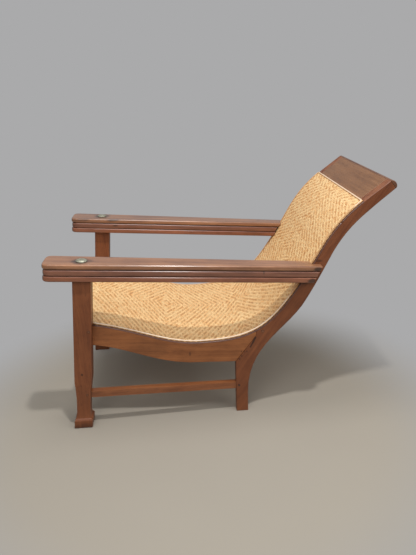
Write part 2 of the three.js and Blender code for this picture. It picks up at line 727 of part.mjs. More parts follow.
function placePair(name, geometry, material, x, y, z) {
  place(chair, `${name}_left`, geometry.clone(), material, x, y, z);
  place(chair, `${name}_right`, mirrored(geometry), material, -x, y, z);
}

const grownLeg = frontLegBlank(FIT);
const grownRearLeg = sidePlate(rearLegOutline(FIT), STILE_WIDTH + 2 * FIT, STILE_X);

const frontLeg = cut(
  frontLegBlank(0), boltHoleInLeg(), frontRailTenon(FIT), stretcherTenons(FIT),
  pegHoles.front_leg_rail_peg, pegHoles.front_leg_stretcher_peg);
placePair('front_leg', frontLeg, frameWood, PIVOT_X, 0, 0);

const rearLeg = cut(
  sidePlate(rearLegOutline(0), STILE_WIDTH, STILE_X, ARRIS), jointTenon(FIT), rearRailTenon(FIT),
  crestTenon(FIT), stretcherTenons(FIT), beadRebate(),
  pegHoles.rear_leg_stretcher_peg, pegHoles.rail_joint_peg);
placePair('rear_leg_stile', rearLeg, frameWood, STILE_X, REAR_LEG_FRONT, 0);

const sideRail = cut(
  join(sidePlate(sideRailOutline(), RAIL_THICKNESS, RAIL_X, ARRIS), jointTenon(0)),
  grownLeg, beadRebate(), pegHoles.front_leg_rail_peg, pegHoles.rail_joint_peg);
placePair('side_seat_rail', sideRail, frameWood, RAIL_X, 0, SEAT_DIP_HEIGHT);

const stretcher = cut(
  join(cut(stretcherBar(STRETCHER_WIDTH, STRETCHER_DEPTH, 0, 0), grownLeg, grownRearLeg), stretcherTenons(0)),
  pegHoles.front_leg_stretcher_peg, pegHoles.rear_leg_stretcher_peg);
placePair('side_stretcher', stretcher, stretcherWood, STILE_X, 0, STRETCHER_FRONT_HEIGHT);

const frontRail = join(sidePlate(frontRailOutline(), 2 * (LEG_INNER - FIT), 0), frontRailTenon(0));
place(chair, 'front_seat_rail', frontRail, frameWood, 0, FRONT_RAIL_Y, SEAT_FRONT_HEIGHT);

const rearRail = join(
  block(2 * (STILE_INNER - FIT), REAR_RAIL_THICKNESS, REAR_RAIL_DEPTH, 0, rearRailPlace.x, rearRailPlace.y),
  rearRailTenon(0));
place(chair, 'rear_seat_rail', rearRail, frameWood, 0, rearRailPlace.x, rearRailPlace.y);

const crestBand = seatBand(crestLowerT, 1, -CREST_THICKNESS, 0);
const crestRail = join(sidePlate(crestBand, 2 * (STILE_INNER - FIT), 0), crestTenon(0));
place(chair, 'crest_rail', crestRail, frameWood, 0, CREST_TOP_REACH, CREST_TOP_HEIGHT);

const crestCap = sidePlate(crestCapOutline(), 2 * SEAT_HALF_WIDTH, 0, ARRIS / 2);
place(chair, 'crest_cap', crestCap, frameWood, 0, CREST_TOP_REACH, CREST_TOP_HEIGHT);

const canePanel = cut(
  sidePlate(seatBand(0, canePanelEnd, CANE_UNDERSIDE, CANE_TOP), 2 * CANE_HALF_WIDTH, 0),
  grownLeg, mirrored(grownLeg));
place(chair, 'cane_panel', canePanel, cane, 0, 0, SEAT_DIP_HEIGHT);

const bindingOuter = CANE_HALF_WIDTH - BINDING_INSET;
const bindingInner = bindingOuter - BINDING_WIDTH;
const bindingMiddle = (bindingOuter + bindingInner) / 2;
const sideBinding = seatMoulding([
  [bindingInner, BINDING_UNDERSIDE],
  [bindingOuter, BINDING_UNDERSIDE],
  [bindingOuter, BINDING_UNDERSIDE + BINDING_HEIGHT / 2],
  [bindingMiddle + BINDING_WIDTH / 4, BINDING_TOP],
  [bindingMiddle - BINDING_WIDTH / 4, BINDING_TOP],
  [bindingInner, BINDING_UNDERSIDE + BINDING_HEIGHT / 2],
], 0, canePanelEnd);
placePair('side_cane_binding', cut(sideBinding, grownLeg), bindingCane, bindingMiddle, 0, SEAT_DIP_HEIGHT);

function crossBinding(from, to) {
  const band = seatBand(from, to, BINDING_UNDERSIDE, BINDING_TOP);
  return sidePlate(band, 2 * (bindingInner - FIT), 0, BINDING_HEIGHT / 3);
}
const frontBinding = cut(crossBinding(0, onSeat(BINDING_WIDTH)), grownLeg, mirrored(grownLeg));
place(chair, 'front_cane_binding', frontBinding, bindingCane, 0, -SEAT_FRONT_REACH, SEAT_FRONT_HEIGHT);
place(chair, 'crest_cane_binding', crossBinding(canePanelEnd - onSeat(BINDING_WIDTH), canePanelEnd),
  bindingCane, 0, CREST_TOP_REACH, CREST_TOP_HEIGHT);

const seatBead = cut(edgeBead(0, beadJointT), grownLeg);
placePair('seat_edge_bead', seatBead, beadWood, SEAT_HALF_WIDTH, 0, SEAT_DIP_HEIGHT);
placePair('back_edge_bead', edgeBead(beadJointT + onSeat(FIT), canePanelEnd), beadWood,
  SEAT_HALF_WIDTH, BACK_BEND_REACH, CREST_TOP_HEIGHT);

for (const [name, placeOfPeg] of Object.entries(pegs)) {
  placePair(name, peg(placeOfPeg, 0), pegWood, placeOfPeg.face, placeOfPeg.y, placeOfPeg.z);
}

// Arms: each stack of boards and its bolt hang in a group that leans with the arm
function addArm(side, sideName) {
  const arm = new THREE.Group();
  arm.position.set(side * PIVOT_X, 0, ARM_HEIGHT);
  arm.rotation.x = -SLOPE;
  const pieces = [
    ['arm_top_board', armBoard(TOP_BOARD, 0, 0, FIT, FIT), armWood],
    ['leg_rest_leaf', armBoard(LEAF_BOARD, LEAF_TOP, LEAF_SETBACK, LEAF_FRONT_GAP, LEAF_SIDE_GAP), armWood],
    ['arm_bottom_board', armBoard(BOTTOM_BOARD, BOTTOM_TOP, 0, FIT, FIT), armWood],
    ['pivot_bolt', pivotBolt(), boltMetal],
  ];
  for (const [name, geometry, material] of pieces) {
    place(arm, `${name}_${sideName}`, side > 0 ? geometry : mirrored(geometry), material, 0, 0, 0);
  }
  chair.add(arm);
}
addArm(1, 'left');
addArm(-1, 'right');

// The origin is under the middle of the chair, on the floor
chair.updateMatrixWorld(true);
const extent = new THREE.Box3().setFromObject(chair, true);
chair.position.y = -(extent.min.y + extent.max.y) / 2;

const group = new THREE.Group();
group.name = 'planters_chair';
group.add(chair);

export default group;
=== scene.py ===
# Planters chair: the looks of its hardwood frame, woven cane and metal fixings, round the CAD frame
import logging
import math
from dataclasses import dataclass, field
from enum import Enum
from typing import Callable, ClassVar, Iterable, Mapping, NamedTuple, Optional, Sequence, Union

import bmesh
import bpy
import numpy as np
from mathutils import Matrix, Vector


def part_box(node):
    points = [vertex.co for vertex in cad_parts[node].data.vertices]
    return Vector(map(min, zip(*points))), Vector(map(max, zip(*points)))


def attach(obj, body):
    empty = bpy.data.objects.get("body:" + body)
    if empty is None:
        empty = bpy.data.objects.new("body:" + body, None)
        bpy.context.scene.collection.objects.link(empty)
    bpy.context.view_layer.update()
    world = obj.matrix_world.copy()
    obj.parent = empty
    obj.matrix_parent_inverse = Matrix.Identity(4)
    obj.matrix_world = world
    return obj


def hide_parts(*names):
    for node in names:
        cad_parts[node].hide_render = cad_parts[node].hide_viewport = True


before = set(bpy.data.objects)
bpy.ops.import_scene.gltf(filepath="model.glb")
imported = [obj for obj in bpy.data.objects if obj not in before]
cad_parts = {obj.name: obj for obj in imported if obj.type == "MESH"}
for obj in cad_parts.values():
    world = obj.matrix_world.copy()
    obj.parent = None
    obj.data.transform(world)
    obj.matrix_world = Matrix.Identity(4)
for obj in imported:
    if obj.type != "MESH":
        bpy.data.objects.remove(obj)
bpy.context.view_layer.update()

CHAIR = "chair_frame"
SIDES = (("left", 1), ("right", -1))
MM = 0.001
TINY = 1e-6
MERGE = 0.01 * MM
FLAT_FACE_WEIGHT = 60
ARM_SLOPE = math.radians(4.3)

# The pattern seed at which each group of pieces starts, so that no two pieces look the same
FRAME_SEED = 1
CROSSWISE_SEED = 11
ARM_SEED = 21
SEAT_BEAD_SEED = 31
BACK_BEAD_SEED = 35
PEG_SEED = 41

# The CAD's own sizes that place the seat line and end the cane, in millimetres
REAR_LEG_FRONT = 507
CREST_HEIGHT = 114
CANE_CREST_LAP = 7

log = logging.getLogger("planters_chair")

Material = bpy.types.Material
Object = bpy.types.Object
Shape = bmesh.types.BMesh
Colour = tuple[float, float, float, float]
Point = tuple[float, float]
Triple = tuple[float, float, float]
Sockets = Mapping[Union[str, int], object]


def paint(red: int, green: int, blue: int) -> Colour:
    """A colour given as it looks on a screen, 0 to 255, in Blender's linear values.

    Args:
        red, green, blue: the colour's parts.

    Returns:
        The linear colour with full alpha.
    """
    parts = [value / 255 for value in (red, green, blue)]
    linear = [p / 12.92 if p <= 0.04045 else ((p + 0.055) / 1.055) ** 2.4 for p in parts]
    return linear[0], linear[1], linear[2], 1.0


# Shader nodes
class Waves(NamedTuple):
    """Smooth noise: its waves to each unit of the vector it reads, None for one, and its finer noise."""

    scale: Optional[Triple] = None
    detail: float = 2.0
    roughness: float = 0.5


class Value:
    """A shader socket that takes part in Python arithmetic."""

    def __init__(self, graph: "Graph", socket: bpy.types.NodeSocket) -> None:
        """Keeps the socket and the graph that it belongs to."""
        self.graph = graph
        self.socket = socket

    def maths(self, operation: str, *others: "Number") -> "Value":
        """Adds a Math node whose first value is this one."""
        return self.graph.maths(operation, self, *others)

    def __add__(self, other: "Number") -> "Value":
        """self + other."""
        return self.maths("ADD", other)

    def __radd__(self, other: "Number") -> "Value":
        """other + self."""
        return self.maths("ADD", other)

    def __sub__(self, other: "Number") -> "Value":
        """self - other."""
        return self.maths("SUBTRACT", other)

    def __rsub__(self, other: "Number") -> "Value":
        """other - self."""
        return self.graph.maths("SUBTRACT", other, self)

    def __mul__(self, other: "Number") -> "Value":
        """self * other."""
        return self.maths("MULTIPLY", other)

    def __rmul__(self, other: "Number") -> "Value":
        """other * self."""
        return self.maths("MULTIPLY", other)

    def __truediv__(self, other: "Number") -> "Value":
        """self / other."""
        return self.maths("DIVIDE", other)

    def __abs__(self) -> "Value":
        """The size of the value without its sign."""
        return self.maths("ABSOLUTE")

    def sway(self, reach: float) -> "Value":
        """Noise from 0 to 1, moved to lie round 0 and stretched to a reach."""
        return (self - 0.5) * reach

    def between(self, low: float, high: float) -> "Value":
        """A smooth step.

        Args:
            low: where the step starts, with 0 before it.
            high: where it ends, with 1 after it.

        Returns:
            The step's value, from 0 to 1.
        """
        return self.graph.node(
            "ShaderNodeMapRange", {"interpolation_type": "SMOOTHSTEP"},
            {"Value": self, "From Min": low, "From Max": high, "To Min": 0.0, "To Max": 1.0})


Number = Union[Value, float]


class Graph:
    """The node tree of a material or of the world, built from expressions."""

    def __init__(self, owner: Union[Material, bpy.types.World]) -> None:
        """Empties a node tree.

        Args:
            owner: the material or world that the tree belongs to.
        """
        self.owner = owner
        owner.use_nodes = True
        self.tree = owner.node_tree
        self.tree.nodes.clear()

    @classmethod
    def of_material(cls, name: str) -> "Graph":
        """Starts a new material."""
        return cls(bpy.data.materials.new(name))

    def node(self, kind: str, settings: Optional[Mapping[str, object]] = None,
             inputs: Optional[Sockets] = None, output: Union[str, int] = 0) -> Value:
        """Adds any node.

        Args:
            kind: the node's type.
            settings: its properties, set first.
            inputs: values or links of its sockets.
            output: the socket to return.

        Returns:
            The chosen output.
        """
        made = self.tree.nodes.new(kind)
        for key, value in (settings or {}).items():
            setattr(made, key, value)
        for key, value in (inputs or {}).items():
            if isinstance(value, Value):
                self.tree.links.new(value.socket, made.inputs[key])
            else:
                made.inputs[key].default_value = value
        return Value(self, made.outputs[output])

    def maths(self, operation: str, *values: Number) -> Value:
        """Adds a Math node on up to three values."""
        return self.node("ShaderNodeMath", {"operation": operation}, dict(enumerate(values)))

    def vector(self, operation: str, first: object, second: object, output: str = "Vector") -> Value:
        """Adds a Vector Math node on two vectors."""
        return self.node("ShaderNodeVectorMath", {"operation": operation}, {0: first, 1: second}, output)

    def mix(self, share: Number, first: object, second: object) -> Value:
        """Mixes two colours by a share of the second."""
        return self.node(
            "ShaderNodeMix", {"data_type": "RGBA", "clamp_factor": True}, {0: share, 6: first, 7: second}, 2)

    def choose(self, share: Number, first: Number, second: Number) -> Value:
        """Mixes two plain values by a share of the second."""
        return self.node("ShaderNodeMix", {"data_type": "FLOAT"}, {0: share, 2: first, 3: second})

    def attribute(self, name: str) -> Value:
        """Reads a number that is kept on the mesh's points."""
        return self.node("ShaderNodeAttribute", {"attribute_name": name}, output="Fac")

    def coordinates(self) -> Value:
        """Object coordinates, in metres."""
        return self.node("ShaderNodeTexCoord", output="Object")

    def combine(self, x: Number, y: Number, z: Number = 0.0) -> Value:
        """Makes a vector from three values."""
        return self.node("ShaderNodeCombineXYZ", inputs={0: x, 1: y, 2: z})

    def noise(self, at: Value, waves: Waves) -> Value:
        """Adds smooth noise.

        Args:
            at: the vector that it reads.
            waves: the noise's waves.

        Returns:
            The noise, from 0 to 1.
        """
        if waves.scale is not None:
            at = self.vector("MULTIPLY", at, waves.scale)
        return self.node("ShaderNodeTexNoise", inputs={
            "Vector": at, "Scale": 1.0, "Detail": waves.detail, "Roughness": waves.roughness})

    def surface(self, shader: Sockets, height: Value, relief: float, strength: float) -> Material:
        """Ends the material with a Principled shader.

        Args:
            shader: values or links of the shader's sockets.
            height: what the bump reads.
            relief: how high the bump stands, in metres.
            strength: the bump's strength.

        Returns:
            The finished material.
        """
        bump = self.node(
            "ShaderNodeBump", inputs={"Strength": strength, "Distance": relief, "Height": height})
        return self.end(self.node("ShaderNodeBsdfPrincipled", inputs={**shader, "Normal": bump}))

    def end(self, shader: Value, output: str = "ShaderNodeOutputMaterial") -> bpy.types.ID:
        """Links the last shader to the output and returns what the tree belongs to."""
        self.tree.links.new(shader.socket, self.tree.nodes.new(output).inputs["Surface"])
        return self.owner


# Finishes
class Grain(Enum):
    """How the grain of a piece of wood lies, as a turn that brings it to the pattern's Y axis."""

    LEG = (math.radians(-90), 0.0, 0.0)
    STILE = (math.radians(-56), 0.0, 0.0)
    RAIL = (math.radians(3), 0.0, 0.0)
    ARM = (ARM_SLOPE, 0.0, 0.0)
    STRETCHER = (math.radians(2), 0.0, 0.0)
    ACROSS = (0.0, 0.0, math.radians(90))
    END = (0.0, 0.0, 0.0)
    ALONG_STRIP = None


@dataclass(frozen=True)
class Mark:
    """A dark spot in the wood: its centre and radii in metres, and how dark it is."""

    centre: Triple
    radii: Triple
    strength: float
    FADE: ClassVar[Point] = (0.45, 1.1)
    RAGGED_RIM: ClassVar[float] = 0.8


@dataclass(frozen=True)
class WoodFinish:
    """Polished hardwood with streaks, pores and soft mottling, its rounded edges lightened as wear and as a
    painted highlight, and darkened by stains, dirt and painted shade where marked.
    """

    name: str
    dark: Colour
    light: Colour
    wear_and_highlight: Colour
    stain_and_shade: Colour = paint(48, 28, 20)
    roughness: float = 0.36
    coat: float = 0.3
    coat_roughness: float = 0.22
    streak_contrast: float = 1.0
    SEED_SHIFT: ClassVar[Triple] = (1.37, 0.71, 2.13)
    WANDER: ClassVar[Waves] = Waves((9.0, 1.7, 9.0), 1.0)
    WANDER_REACH: ClassVar[float] = 0.03
    BANDS: ClassVar[Waves] = Waves((75.0, 2.2, 75.0), 4.0, 0.55)
    STREAKS: ClassVar[Waves] = Waves((330.0, 9.0, 330.0), 3.0, 0.6)
    PORES: ClassVar[Waves] = Waves((900.0, 45.0, 900.0), 1.0)
    PORE_RIM: ClassVar[Point] = (0.60, 0.74)
    PORE_STAIN: ClassVar[float] = 0.42
    MOTTLE: ClassVar[Waves] = Waves((16.0, 7.0, 16.0), 3.0, 0.6)
    SMUDGE: ClassVar[Waves] = Waves((42.0, 30.0, 42.0))
    EDGE_PATCHES: ClassVar[Waves] = Waves((60.0, 25.0, 60.0))
    EDGE_PATCH_RIM: ClassVar[Point] = (0.30, 0.62)
    EDGE_WEAR_AND_HIGHLIGHT: ClassVar[float] = 0.75
    SHADE_AND_GRIME: ClassVar[float] = 0.85
    BAND_TONE: ClassVar[float] = 1.5
    STREAK_TONE: ClassVar[float] = 0.9
    MOTTLE_TONE: ClassVar[float] = 1.0
    SMUDGE_TONE: ClassVar[float] = 0.2
    MOTTLE_ROUGHNESS: ClassVar[float] = 0.22
    SMUDGE_ROUGHNESS: ClassVar[float] = 0.14
    PORE_ROUGHNESS: ClassVar[float] = 0.15
    STREAK_HEIGHT: ClassVar[float] = 0.35
    BAND_HEIGHT: ClassVar[float] = 0.3
    PORE_DEPTH: ClassVar[float] = 0.8
    RELIEF: ClassVar[float] = 0.45 * MM

    def grain_space(self, graph: Graph, grain: Grain, seed: float) -> Value:
        """The pattern's own space, with the grain along Y.

        Args:
            graph: the material's graph.
            grain: how the grain lies.
            seed: moves the pattern, so that no two pieces look the same.

        Returns:
            Coordinates in metres.
        """
        shift = tuple(seed * step for step in self.SEED_SHIFT)
        if grain is Grain.ALONG_STRIP:
            run = graph.combine(graph.attribute("across"), graph.attribute("along"))
            return graph.node("ShaderNodeMapping", inputs={"Vector": run, "Location": shift})
        return graph.node("ShaderNodeMapping", inputs={
            "Vector": graph.coordinates(), "Location": shift, "Rotation": grain.value})

    def material(self, grain: Grain, seed: float, marks: Sequence[Mark] = ()) -> Material:
        """Builds the material for one piece.

        Args:
            grain: how the grain lies.
            seed: moves the pattern.
            marks: dark spots in this piece.

        Returns:
            The finished material.
        """
        graph = Graph.of_material(f"{self.name}_{seed:.0f}")
        space = self.grain_space(graph, grain, seed)
        wander = graph.noise(space, self.WANDER) * self.WANDER_REACH
        bent = graph.vector("ADD", space, graph.combine(wander, 0.0, wander))
        bands, streaks = graph.noise(bent, self.BANDS), graph.noise(bent, self.STREAKS)
        pores = graph.noise(bent, self.PORES).between(*self.PORE_RIM)
        mottle, smudge = graph.noise(space, self.MOTTLE), graph.noise(space, self.SMUDGE)

        contrast = self.streak_contrast
        tone = bands.sway(self.BAND_TONE * contrast) + streaks.sway(self.STREAK_TONE * contrast)
        tone = tone + mottle.sway(self.MOTTLE_TONE) + smudge.sway(self.SMUDGE_TONE) + 0.5
        colour = graph.mix(tone.maths("MINIMUM", 1.0).maths("MAXIMUM", 0.0), self.dark, self.light)
        colour = graph.mix(pores * self.PORE_STAIN, colour, self.stain_and_shade)
        # Rounded edges take the third colour in patches: wear, and a painted highlight along the arrises.
        edge_patches = graph.noise(space, self.EDGE_PATCHES).between(*self.EDGE_PATCH_RIM)
        colour = graph.mix(graph.attribute("edge") * edge_patches * self.EDGE_WEAR_AND_HIGHLIGHT, colour, self.wear_and_highlight)
        # Darkened from the mesh's numbers: painted shade in the grooves between arm boards and under the
        # bottom board, and a dark ring round each peg.
        colour = graph.mix(graph.attribute("shade_and_grime") * self.SHADE_AND_GRIME, colour, self.stain_and_shade)
        # Dark spots: stains, knots and joints, and on the frame some painted shadows.
        for mark in marks:
            colour = graph.mix(self.spot(graph, mark, smudge), colour, self.stain_and_shade)

        roughness = mottle.sway(self.MOTTLE_ROUGHNESS) + pores * self.PORE_ROUGHNESS
        roughness = roughness + smudge.sway(self.SMUDGE_ROUGHNESS) + self.roughness
        height = streaks * self.STREAK_HEIGHT + bands * self.BAND_HEIGHT - pores * self.PORE_DEPTH
        return graph.surface(
            {"Base Color": colour, "Roughness": roughness, "Coat Weight": self.coat,
             "Coat Roughness": self.coat_roughness, "Specular IOR Level": 0.4},
            height, relief=self.RELIEF, strength=0.45)

    def spot(self, graph: Graph, mark: Mark, ragged: Value) -> Value:
        """How dark a mark is at each point.

        Args:
            graph: the material's graph.
            mark: the spot.
            ragged: noise that makes its rim uneven.

        Returns:
            A share from 0 to the mark's strength.
        """
        away = graph.vector("SUBTRACT", graph.coordinates(), mark.centre)
        scaled = graph.vector("DIVIDE", away, mark.radii)
        distance = graph.vector("LENGTH", scaled, (0.0, 0.0, 0.0), "Value") + ragged.sway(mark.RAGGED_RIM)
        return (1.0 - distance.between(*mark.FADE)) * mark.strength


Strand = Union[Value, np.ndarray]


class Maths(NamedTuple):
    """The operations of the weave's layout, on shader values or on numpy arrays."""

    floor: Callable[[Strand], Strand]
    remainder: Callable[[Strand, float], Strand]
    between: Callable[[Strand, float, float], Strand]


def smooth_step(values: np.ndarray, low: float, high: float) -> np.ndarray:
    """The smooth step of a node's map range, on numpy arrays."""
    share = np.clip((values - low) / (high - low), 0.0, 1.0)
    return share * share * (3.0 - 2.0 * share)


ON_NODES = Maths(
    lambda value: value.maths("FLOOR"),
    lambda value, size: value.maths("FLOORED_MODULO", size),
    lambda value, low, high: value.between(low, high))
ON_ARRAYS = Maths(np.floor, np.mod, smooth_step)


@dataclass(frozen=True)
class Twill:
    """Where the weave's lines run: diamonds round an axis that wanders sideways up the back."""

    columns: int = 98
    rows: int = 372
    over: int = 3
    field_rows: int = 88
    first_row: int = 8
    seat_axis: float = -7.0
    drift_rows: Point = (240.0, 315.0)
    drift_columns: float = 11.0
    return_rows: Point = (325.0, 365.0)
    return_columns: float = 6.0

    def fold(self, column: Strand, row: Strand, maths: Maths) -> tuple[Strand, Strand]:
        """Folds strand numbers into one quarter of a diamond.

        Args:
            column, row: strand numbers.
            maths: the operations to use.

        Returns:
            Strand numbers counted from the diamond's centre.
        """
        drift = maths.between(row, *self.drift_rows) * self.drift_columns
        drift = drift - maths.between(row, *self.return_rows) * self.return_columns
        x = abs(column - maths.floor(drift) - self.seat_axis)
        y = abs(maths.remainder(row - self.first_row, 2.0 * self.field_rows) - self.field_rows)
        return x, y

    @property
    def turn(self) -> float:
        """The angle that the weave's lines go through from one strand to the next."""
        return math.pi / self.over


@dataclass(frozen=True)
class WeaveFinish:
    """Split cane in a twill of three over and three under, its lengthwise strands in pairs, with painted
    shade in its furrows and between its strands.
    """

    twill: Twill
    fresh: Colour = paint(255, 219, 161)
    aged: Colour = paint(240, 184, 120)
    gap: Colour = paint(150, 96, 52)
    shade: Colour = paint(184, 126, 74)
    CROSSWISE_FIBRES: ClassVar[Point] = (0.7, 11.0)
    LENGTHWISE_FIBRES: ClassVar[Point] = (21.0, 0.4)
    FIRST_LENGTHWISE: ClassVar[float] = 700.0
    FIBRES: ClassVar[Waves] = Waves(roughness=0.6)
    PATCH: ClassVar[Waves] = Waves((15.0, 15.0, 15.0), 3.0, 0.6)
    FLECK: ClassVar[Waves] = Waves((95.0, 95.0, 95.0), 1.0)
    CHANCE_AGE: ClassVar[float] = 1.3
    FIBRE_AGE: ClassVar[float] = 0.5
    PATCH_AGE: ClassVar[float] = 1.1
    FLECK_AGE: ClassVar[float] = 0.9
    USUAL_AGE: ClassVar[float] = 0.4
    FLECK_SHADE: ClassVar[float] = 1.1
    CHANCE_SHADE: ClassVar[float] = 0.5
    USUAL_SHADE: ClassVar[float] = 0.5
    GAP_RIM: ClassVar[Point] = (0.08, 0.42)
    GAP_SHADE: ClassVar[float] = 0.75
    HUMP: ClassVar[float] = 0.7
    FURROW_POWER: ClassVar[float] = 1.3
    FIBRE_HEIGHT: ClassVar[float] = 0.12
    RELIEF: ClassVar[float] = 1.2 * MM

    def material(self) -> Material:
        """Builds the cane's material from the strand numbers kept on the mesh.

        Returns:
            The finished material.
        """
        graph = Graph.of_material("woven_cane")
        over = float(self.twill.over)
        column, row = graph.attribute("across"), graph.attribute("along")
        x, y = self.twill.fold(column, row, ON_NODES)
        in_x, in_y = x.maths("FRACT"), y.maths("FRACT")
        count = x.maths("FLOOR") + y.maths("FLOOR")
        step = count.maths("FLOORED_MODULO", 2.0 * over)
        lengthwise = step.maths("LESS_THAN", over - 0.5)
        across = graph.choose(lengthwise, in_y, (in_x * 2.0).maths("FRACT"))
        along = step - over + lengthwise * over + graph.choose(lengthwise, in_x, in_y)
        crown = 1.0 - (across * 2.0 - 1.0).maths("POWER", 2.0)
        hump = 1.0 - (along * (2.0 / over) - 1.0).maths("POWER", 2.0)
        height = crown.maths("POWER", 0.5) * (hump * self.HUMP + (1.0 - self.HUMP))
        wale = (x + y - (over + 1.0) / 2) * self.twill.turn
        furrow = (0.5 - wale.maths("COSINE") * 0.5).maths("POWER", self.FURROW_POWER)

        number = (column * 2.0).maths("FLOOR") + self.FIRST_LENGTHWISE
        strand = graph.combine(
            graph.choose(lengthwise, row.maths("FLOOR"), number),
            (count / (2.0 * over)).maths("FLOOR"), lengthwise)
        chance = graph.node("ShaderNodeTexWhiteNoise", {"noise_dimensions": "3D"}, {"Vector": strand})
        by_column, by_row = (
            graph.choose(lengthwise, *pair) for pair in zip(self.CROSSWISE_FIBRES, self.LENGTHWISE_FIBRES))
        fibres = graph.noise(graph.combine(column * by_column, row * by_row), self.FIBRES)
        patch = graph.noise(graph.coordinates(), self.PATCH)
        fleck = graph.noise(graph.coordinates(), self.FLECK)
        age = chance.sway(self.CHANCE_AGE) + fibres.sway(self.FIBRE_AGE) + patch.sway(self.PATCH_AGE)
        age = age + fleck.sway(self.FLECK_AGE) + self.USUAL_AGE
        colour = graph.mix(age, self.fresh, self.aged)
        shade = fleck.sway(self.FLECK_SHADE) + chance.sway(self.CHANCE_SHADE) + self.USUAL_SHADE
        # Painted shade in the twill's diagonal furrows, which darkens the crosswise floats.
        colour = graph.mix(furrow * shade, colour, self.shade)
        # Painted shade in the low places between strands and at the ends of floats.
        colour = graph.mix((1.0 - height.between(*self.GAP_RIM)) * self.GAP_SHADE, colour, self.gap)
        return graph.surface(
            {"Base Color": colour, "Roughness": fibres.sway(0.2) + 0.5, "Specular IOR Level": 0.3},
            height + fibres * self.FIBRE_HEIGHT, relief=self.RELIEF, strength=0.6)


@dataclass(frozen=True)
class StripFinish:
    """A strip of split cane: pale outside along the seat, brown up the back, between the two at the crest,
    with painted shade along its inner side.
    """

    pale: Colour = paint(255, 240, 220)
    aged: Colour = paint(236, 198, 158)
    brown: Colour = paint(204, 158, 110)
    back_from: Point = (0.72, 0.80)
    crest_from: Point = (1.125, 1.145)
    crest_brown: float = 0.35
    inner_rim: Point = (-1.6 * MM, -0.2 * MM)
    inner_shade: float = 0.75
    FIBRES: ClassVar[Waves] = Waves((2600.0, 30.0, 0.0), 2.0, 0.6)
    PATCH: ClassVar[Waves] = Waves((40.0, 22.0, 0.0))
    RAGGED: ClassVar[Waves] = Waves((300.0, 160.0, 0.0))

    def material(self) -> Material:
        """Builds the strip's material from the places kept on the mesh, in metres along and across it.

        Returns:
            The finished material.
        """
        graph = Graph.of_material("binding_cane")
        across, along = graph.attribute("across"), graph.attribute("along")
        place = graph.combine(across, along)
        fibres, patch = graph.noise(place, self.FIBRES), graph.noise(place, self.PATCH)
        colour = graph.mix(fibres.sway(0.8) + patch.sway(1.3) + 0.38, self.pale, self.aged)
        crest = along.between(*self.crest_from)
        back = along.between(*self.back_from) - crest
        # Painted shade along the binding's inner side, beside the cane.
        ragged = graph.noise(place, self.RAGGED).sway(4.0 * MM)
        inner = 1.0 - (across + ragged).between(*self.inner_rim)
        brown = back + crest * self.crest_brown + inner * self.inner_shade
        colour = graph.mix(brown.maths("MINIMUM", 1.0), colour, self.brown)
        return graph.surface(
            {"Base Color": colour, "Roughness": fibres.sway(0.2) + 0.45, "Specular IOR Level": 0.4},
            fibres, relief=0.3 * MM, strength=0.5)


@dataclass(frozen=True)
class MetalFinish:
    """Dull aged steel, with painted shade at the base of its rim."""

    bright: Colour = paint(182, 180, 160)
    dull: Colour = paint(128, 126, 110)
    shade_and_grime: Colour = paint(44, 36, 30)
    PATCH: ClassVar[Waves] = Waves((170.0, 170.0, 170.0), 3.0, 0.6)
    FINE: ClassVar[Waves] = Waves((900.0, 900.0, 900.0))
    DULL_RIM: ClassVar[Point] = (0.32, 0.66)

    def material(self) -> Material:
        """Builds the bolt's material.

        Returns:
            The finished material.
        """
        graph = Graph.of_material("bolt_metal")
        patch, fine = (graph.noise(graph.coordinates(), waves) for waves in (self.PATCH, self.FINE))
        colour = graph.mix(patch.between(*self.DULL_RIM), self.bright, self.dull)
        # Painted shade at the base of the head, from the mesh's numbers.
        colour = graph.mix(graph.attribute("shade_and_grime") * 0.9, colour, self.shade_and_grime)
        return graph.surface(
            {"Base Color": colour, "Metallic": 0.6, "Roughness": patch * 0.3 + 0.42},
            fine + patch, relief=0.4 * MM, strength=0.35)


BACKDROP = paint(170, 170, 171)


@dataclass(frozen=True)
class FloorFinish:
    """A plain pale floor that turns into the backdrop's colour away from the chair, for the camera alone."""

    colour: Colour = paint(166, 158, 145)
    shade: Colour = paint(140, 133, 122)
    fade_centre: Triple = (0.3, -0.1, 0.0)
    fade: Point = (0.6, 1.15)
    PATCH: ClassVar[Waves] = Waves((2.3, 2.3, 2.3), 3.0)

    def material(self) -> Material:
        """Builds the floor's material, which is matt and nearly even.

        Returns:
            The finished material.
        """
        graph = Graph.of_material("plain_floor")
        patch = graph.noise(graph.coordinates(), self.PATCH)
        colour = graph.mix(patch.sway(0.16) + 0.08, self.colour, self.shade)
        lit = graph.node(
            "ShaderNodeBsdfPrincipled",
            inputs={"Base Color": colour, "Roughness": 0.95, "Specular IOR Level": 0.1})
        plain = graph.node("ShaderNodeEmission", inputs={"Color": BACKDROP})
        away = graph.vector("DISTANCE", graph.coordinates(), self.fade_centre, "Value")
        seen = graph.node("ShaderNodeLightPath", output="Is Camera Ray")
        return graph.end(graph.node("ShaderNodeMixShader", inputs={
            0: away.between(*self.fade) * seen, 1: lit, 2: plain}))


# Each wood's third colour lightens its rounded edges: wear, and a painted highlight along the arrises.
FRAME_WOOD = WoodFinish(
    "frame_wood", paint(92, 46, 25), paint(142, 84, 49), paint(168, 112, 78),
    roughness=0.46, coat=0.05, streak_contrast=0.7)
RAIL_WOOD = WoodFinish(
    "rail_wood", paint(110, 61, 31), paint(170, 107, 61), paint(180, 122, 84),
    roughness=0.42, coat=0.1, streak_contrast=0.7)
CREST_WOOD = WoodFinish(
    "crest_wood", paint(108, 70, 42), paint(146, 102, 67), paint(178, 134, 104),
    coat=0.2, streak_contrast=0.8)
CAP_WOOD = WoodFinish("cap_wood", paint(84, 50, 33), paint(130, 88, 62), paint(150, 106, 80), coat=0.2)
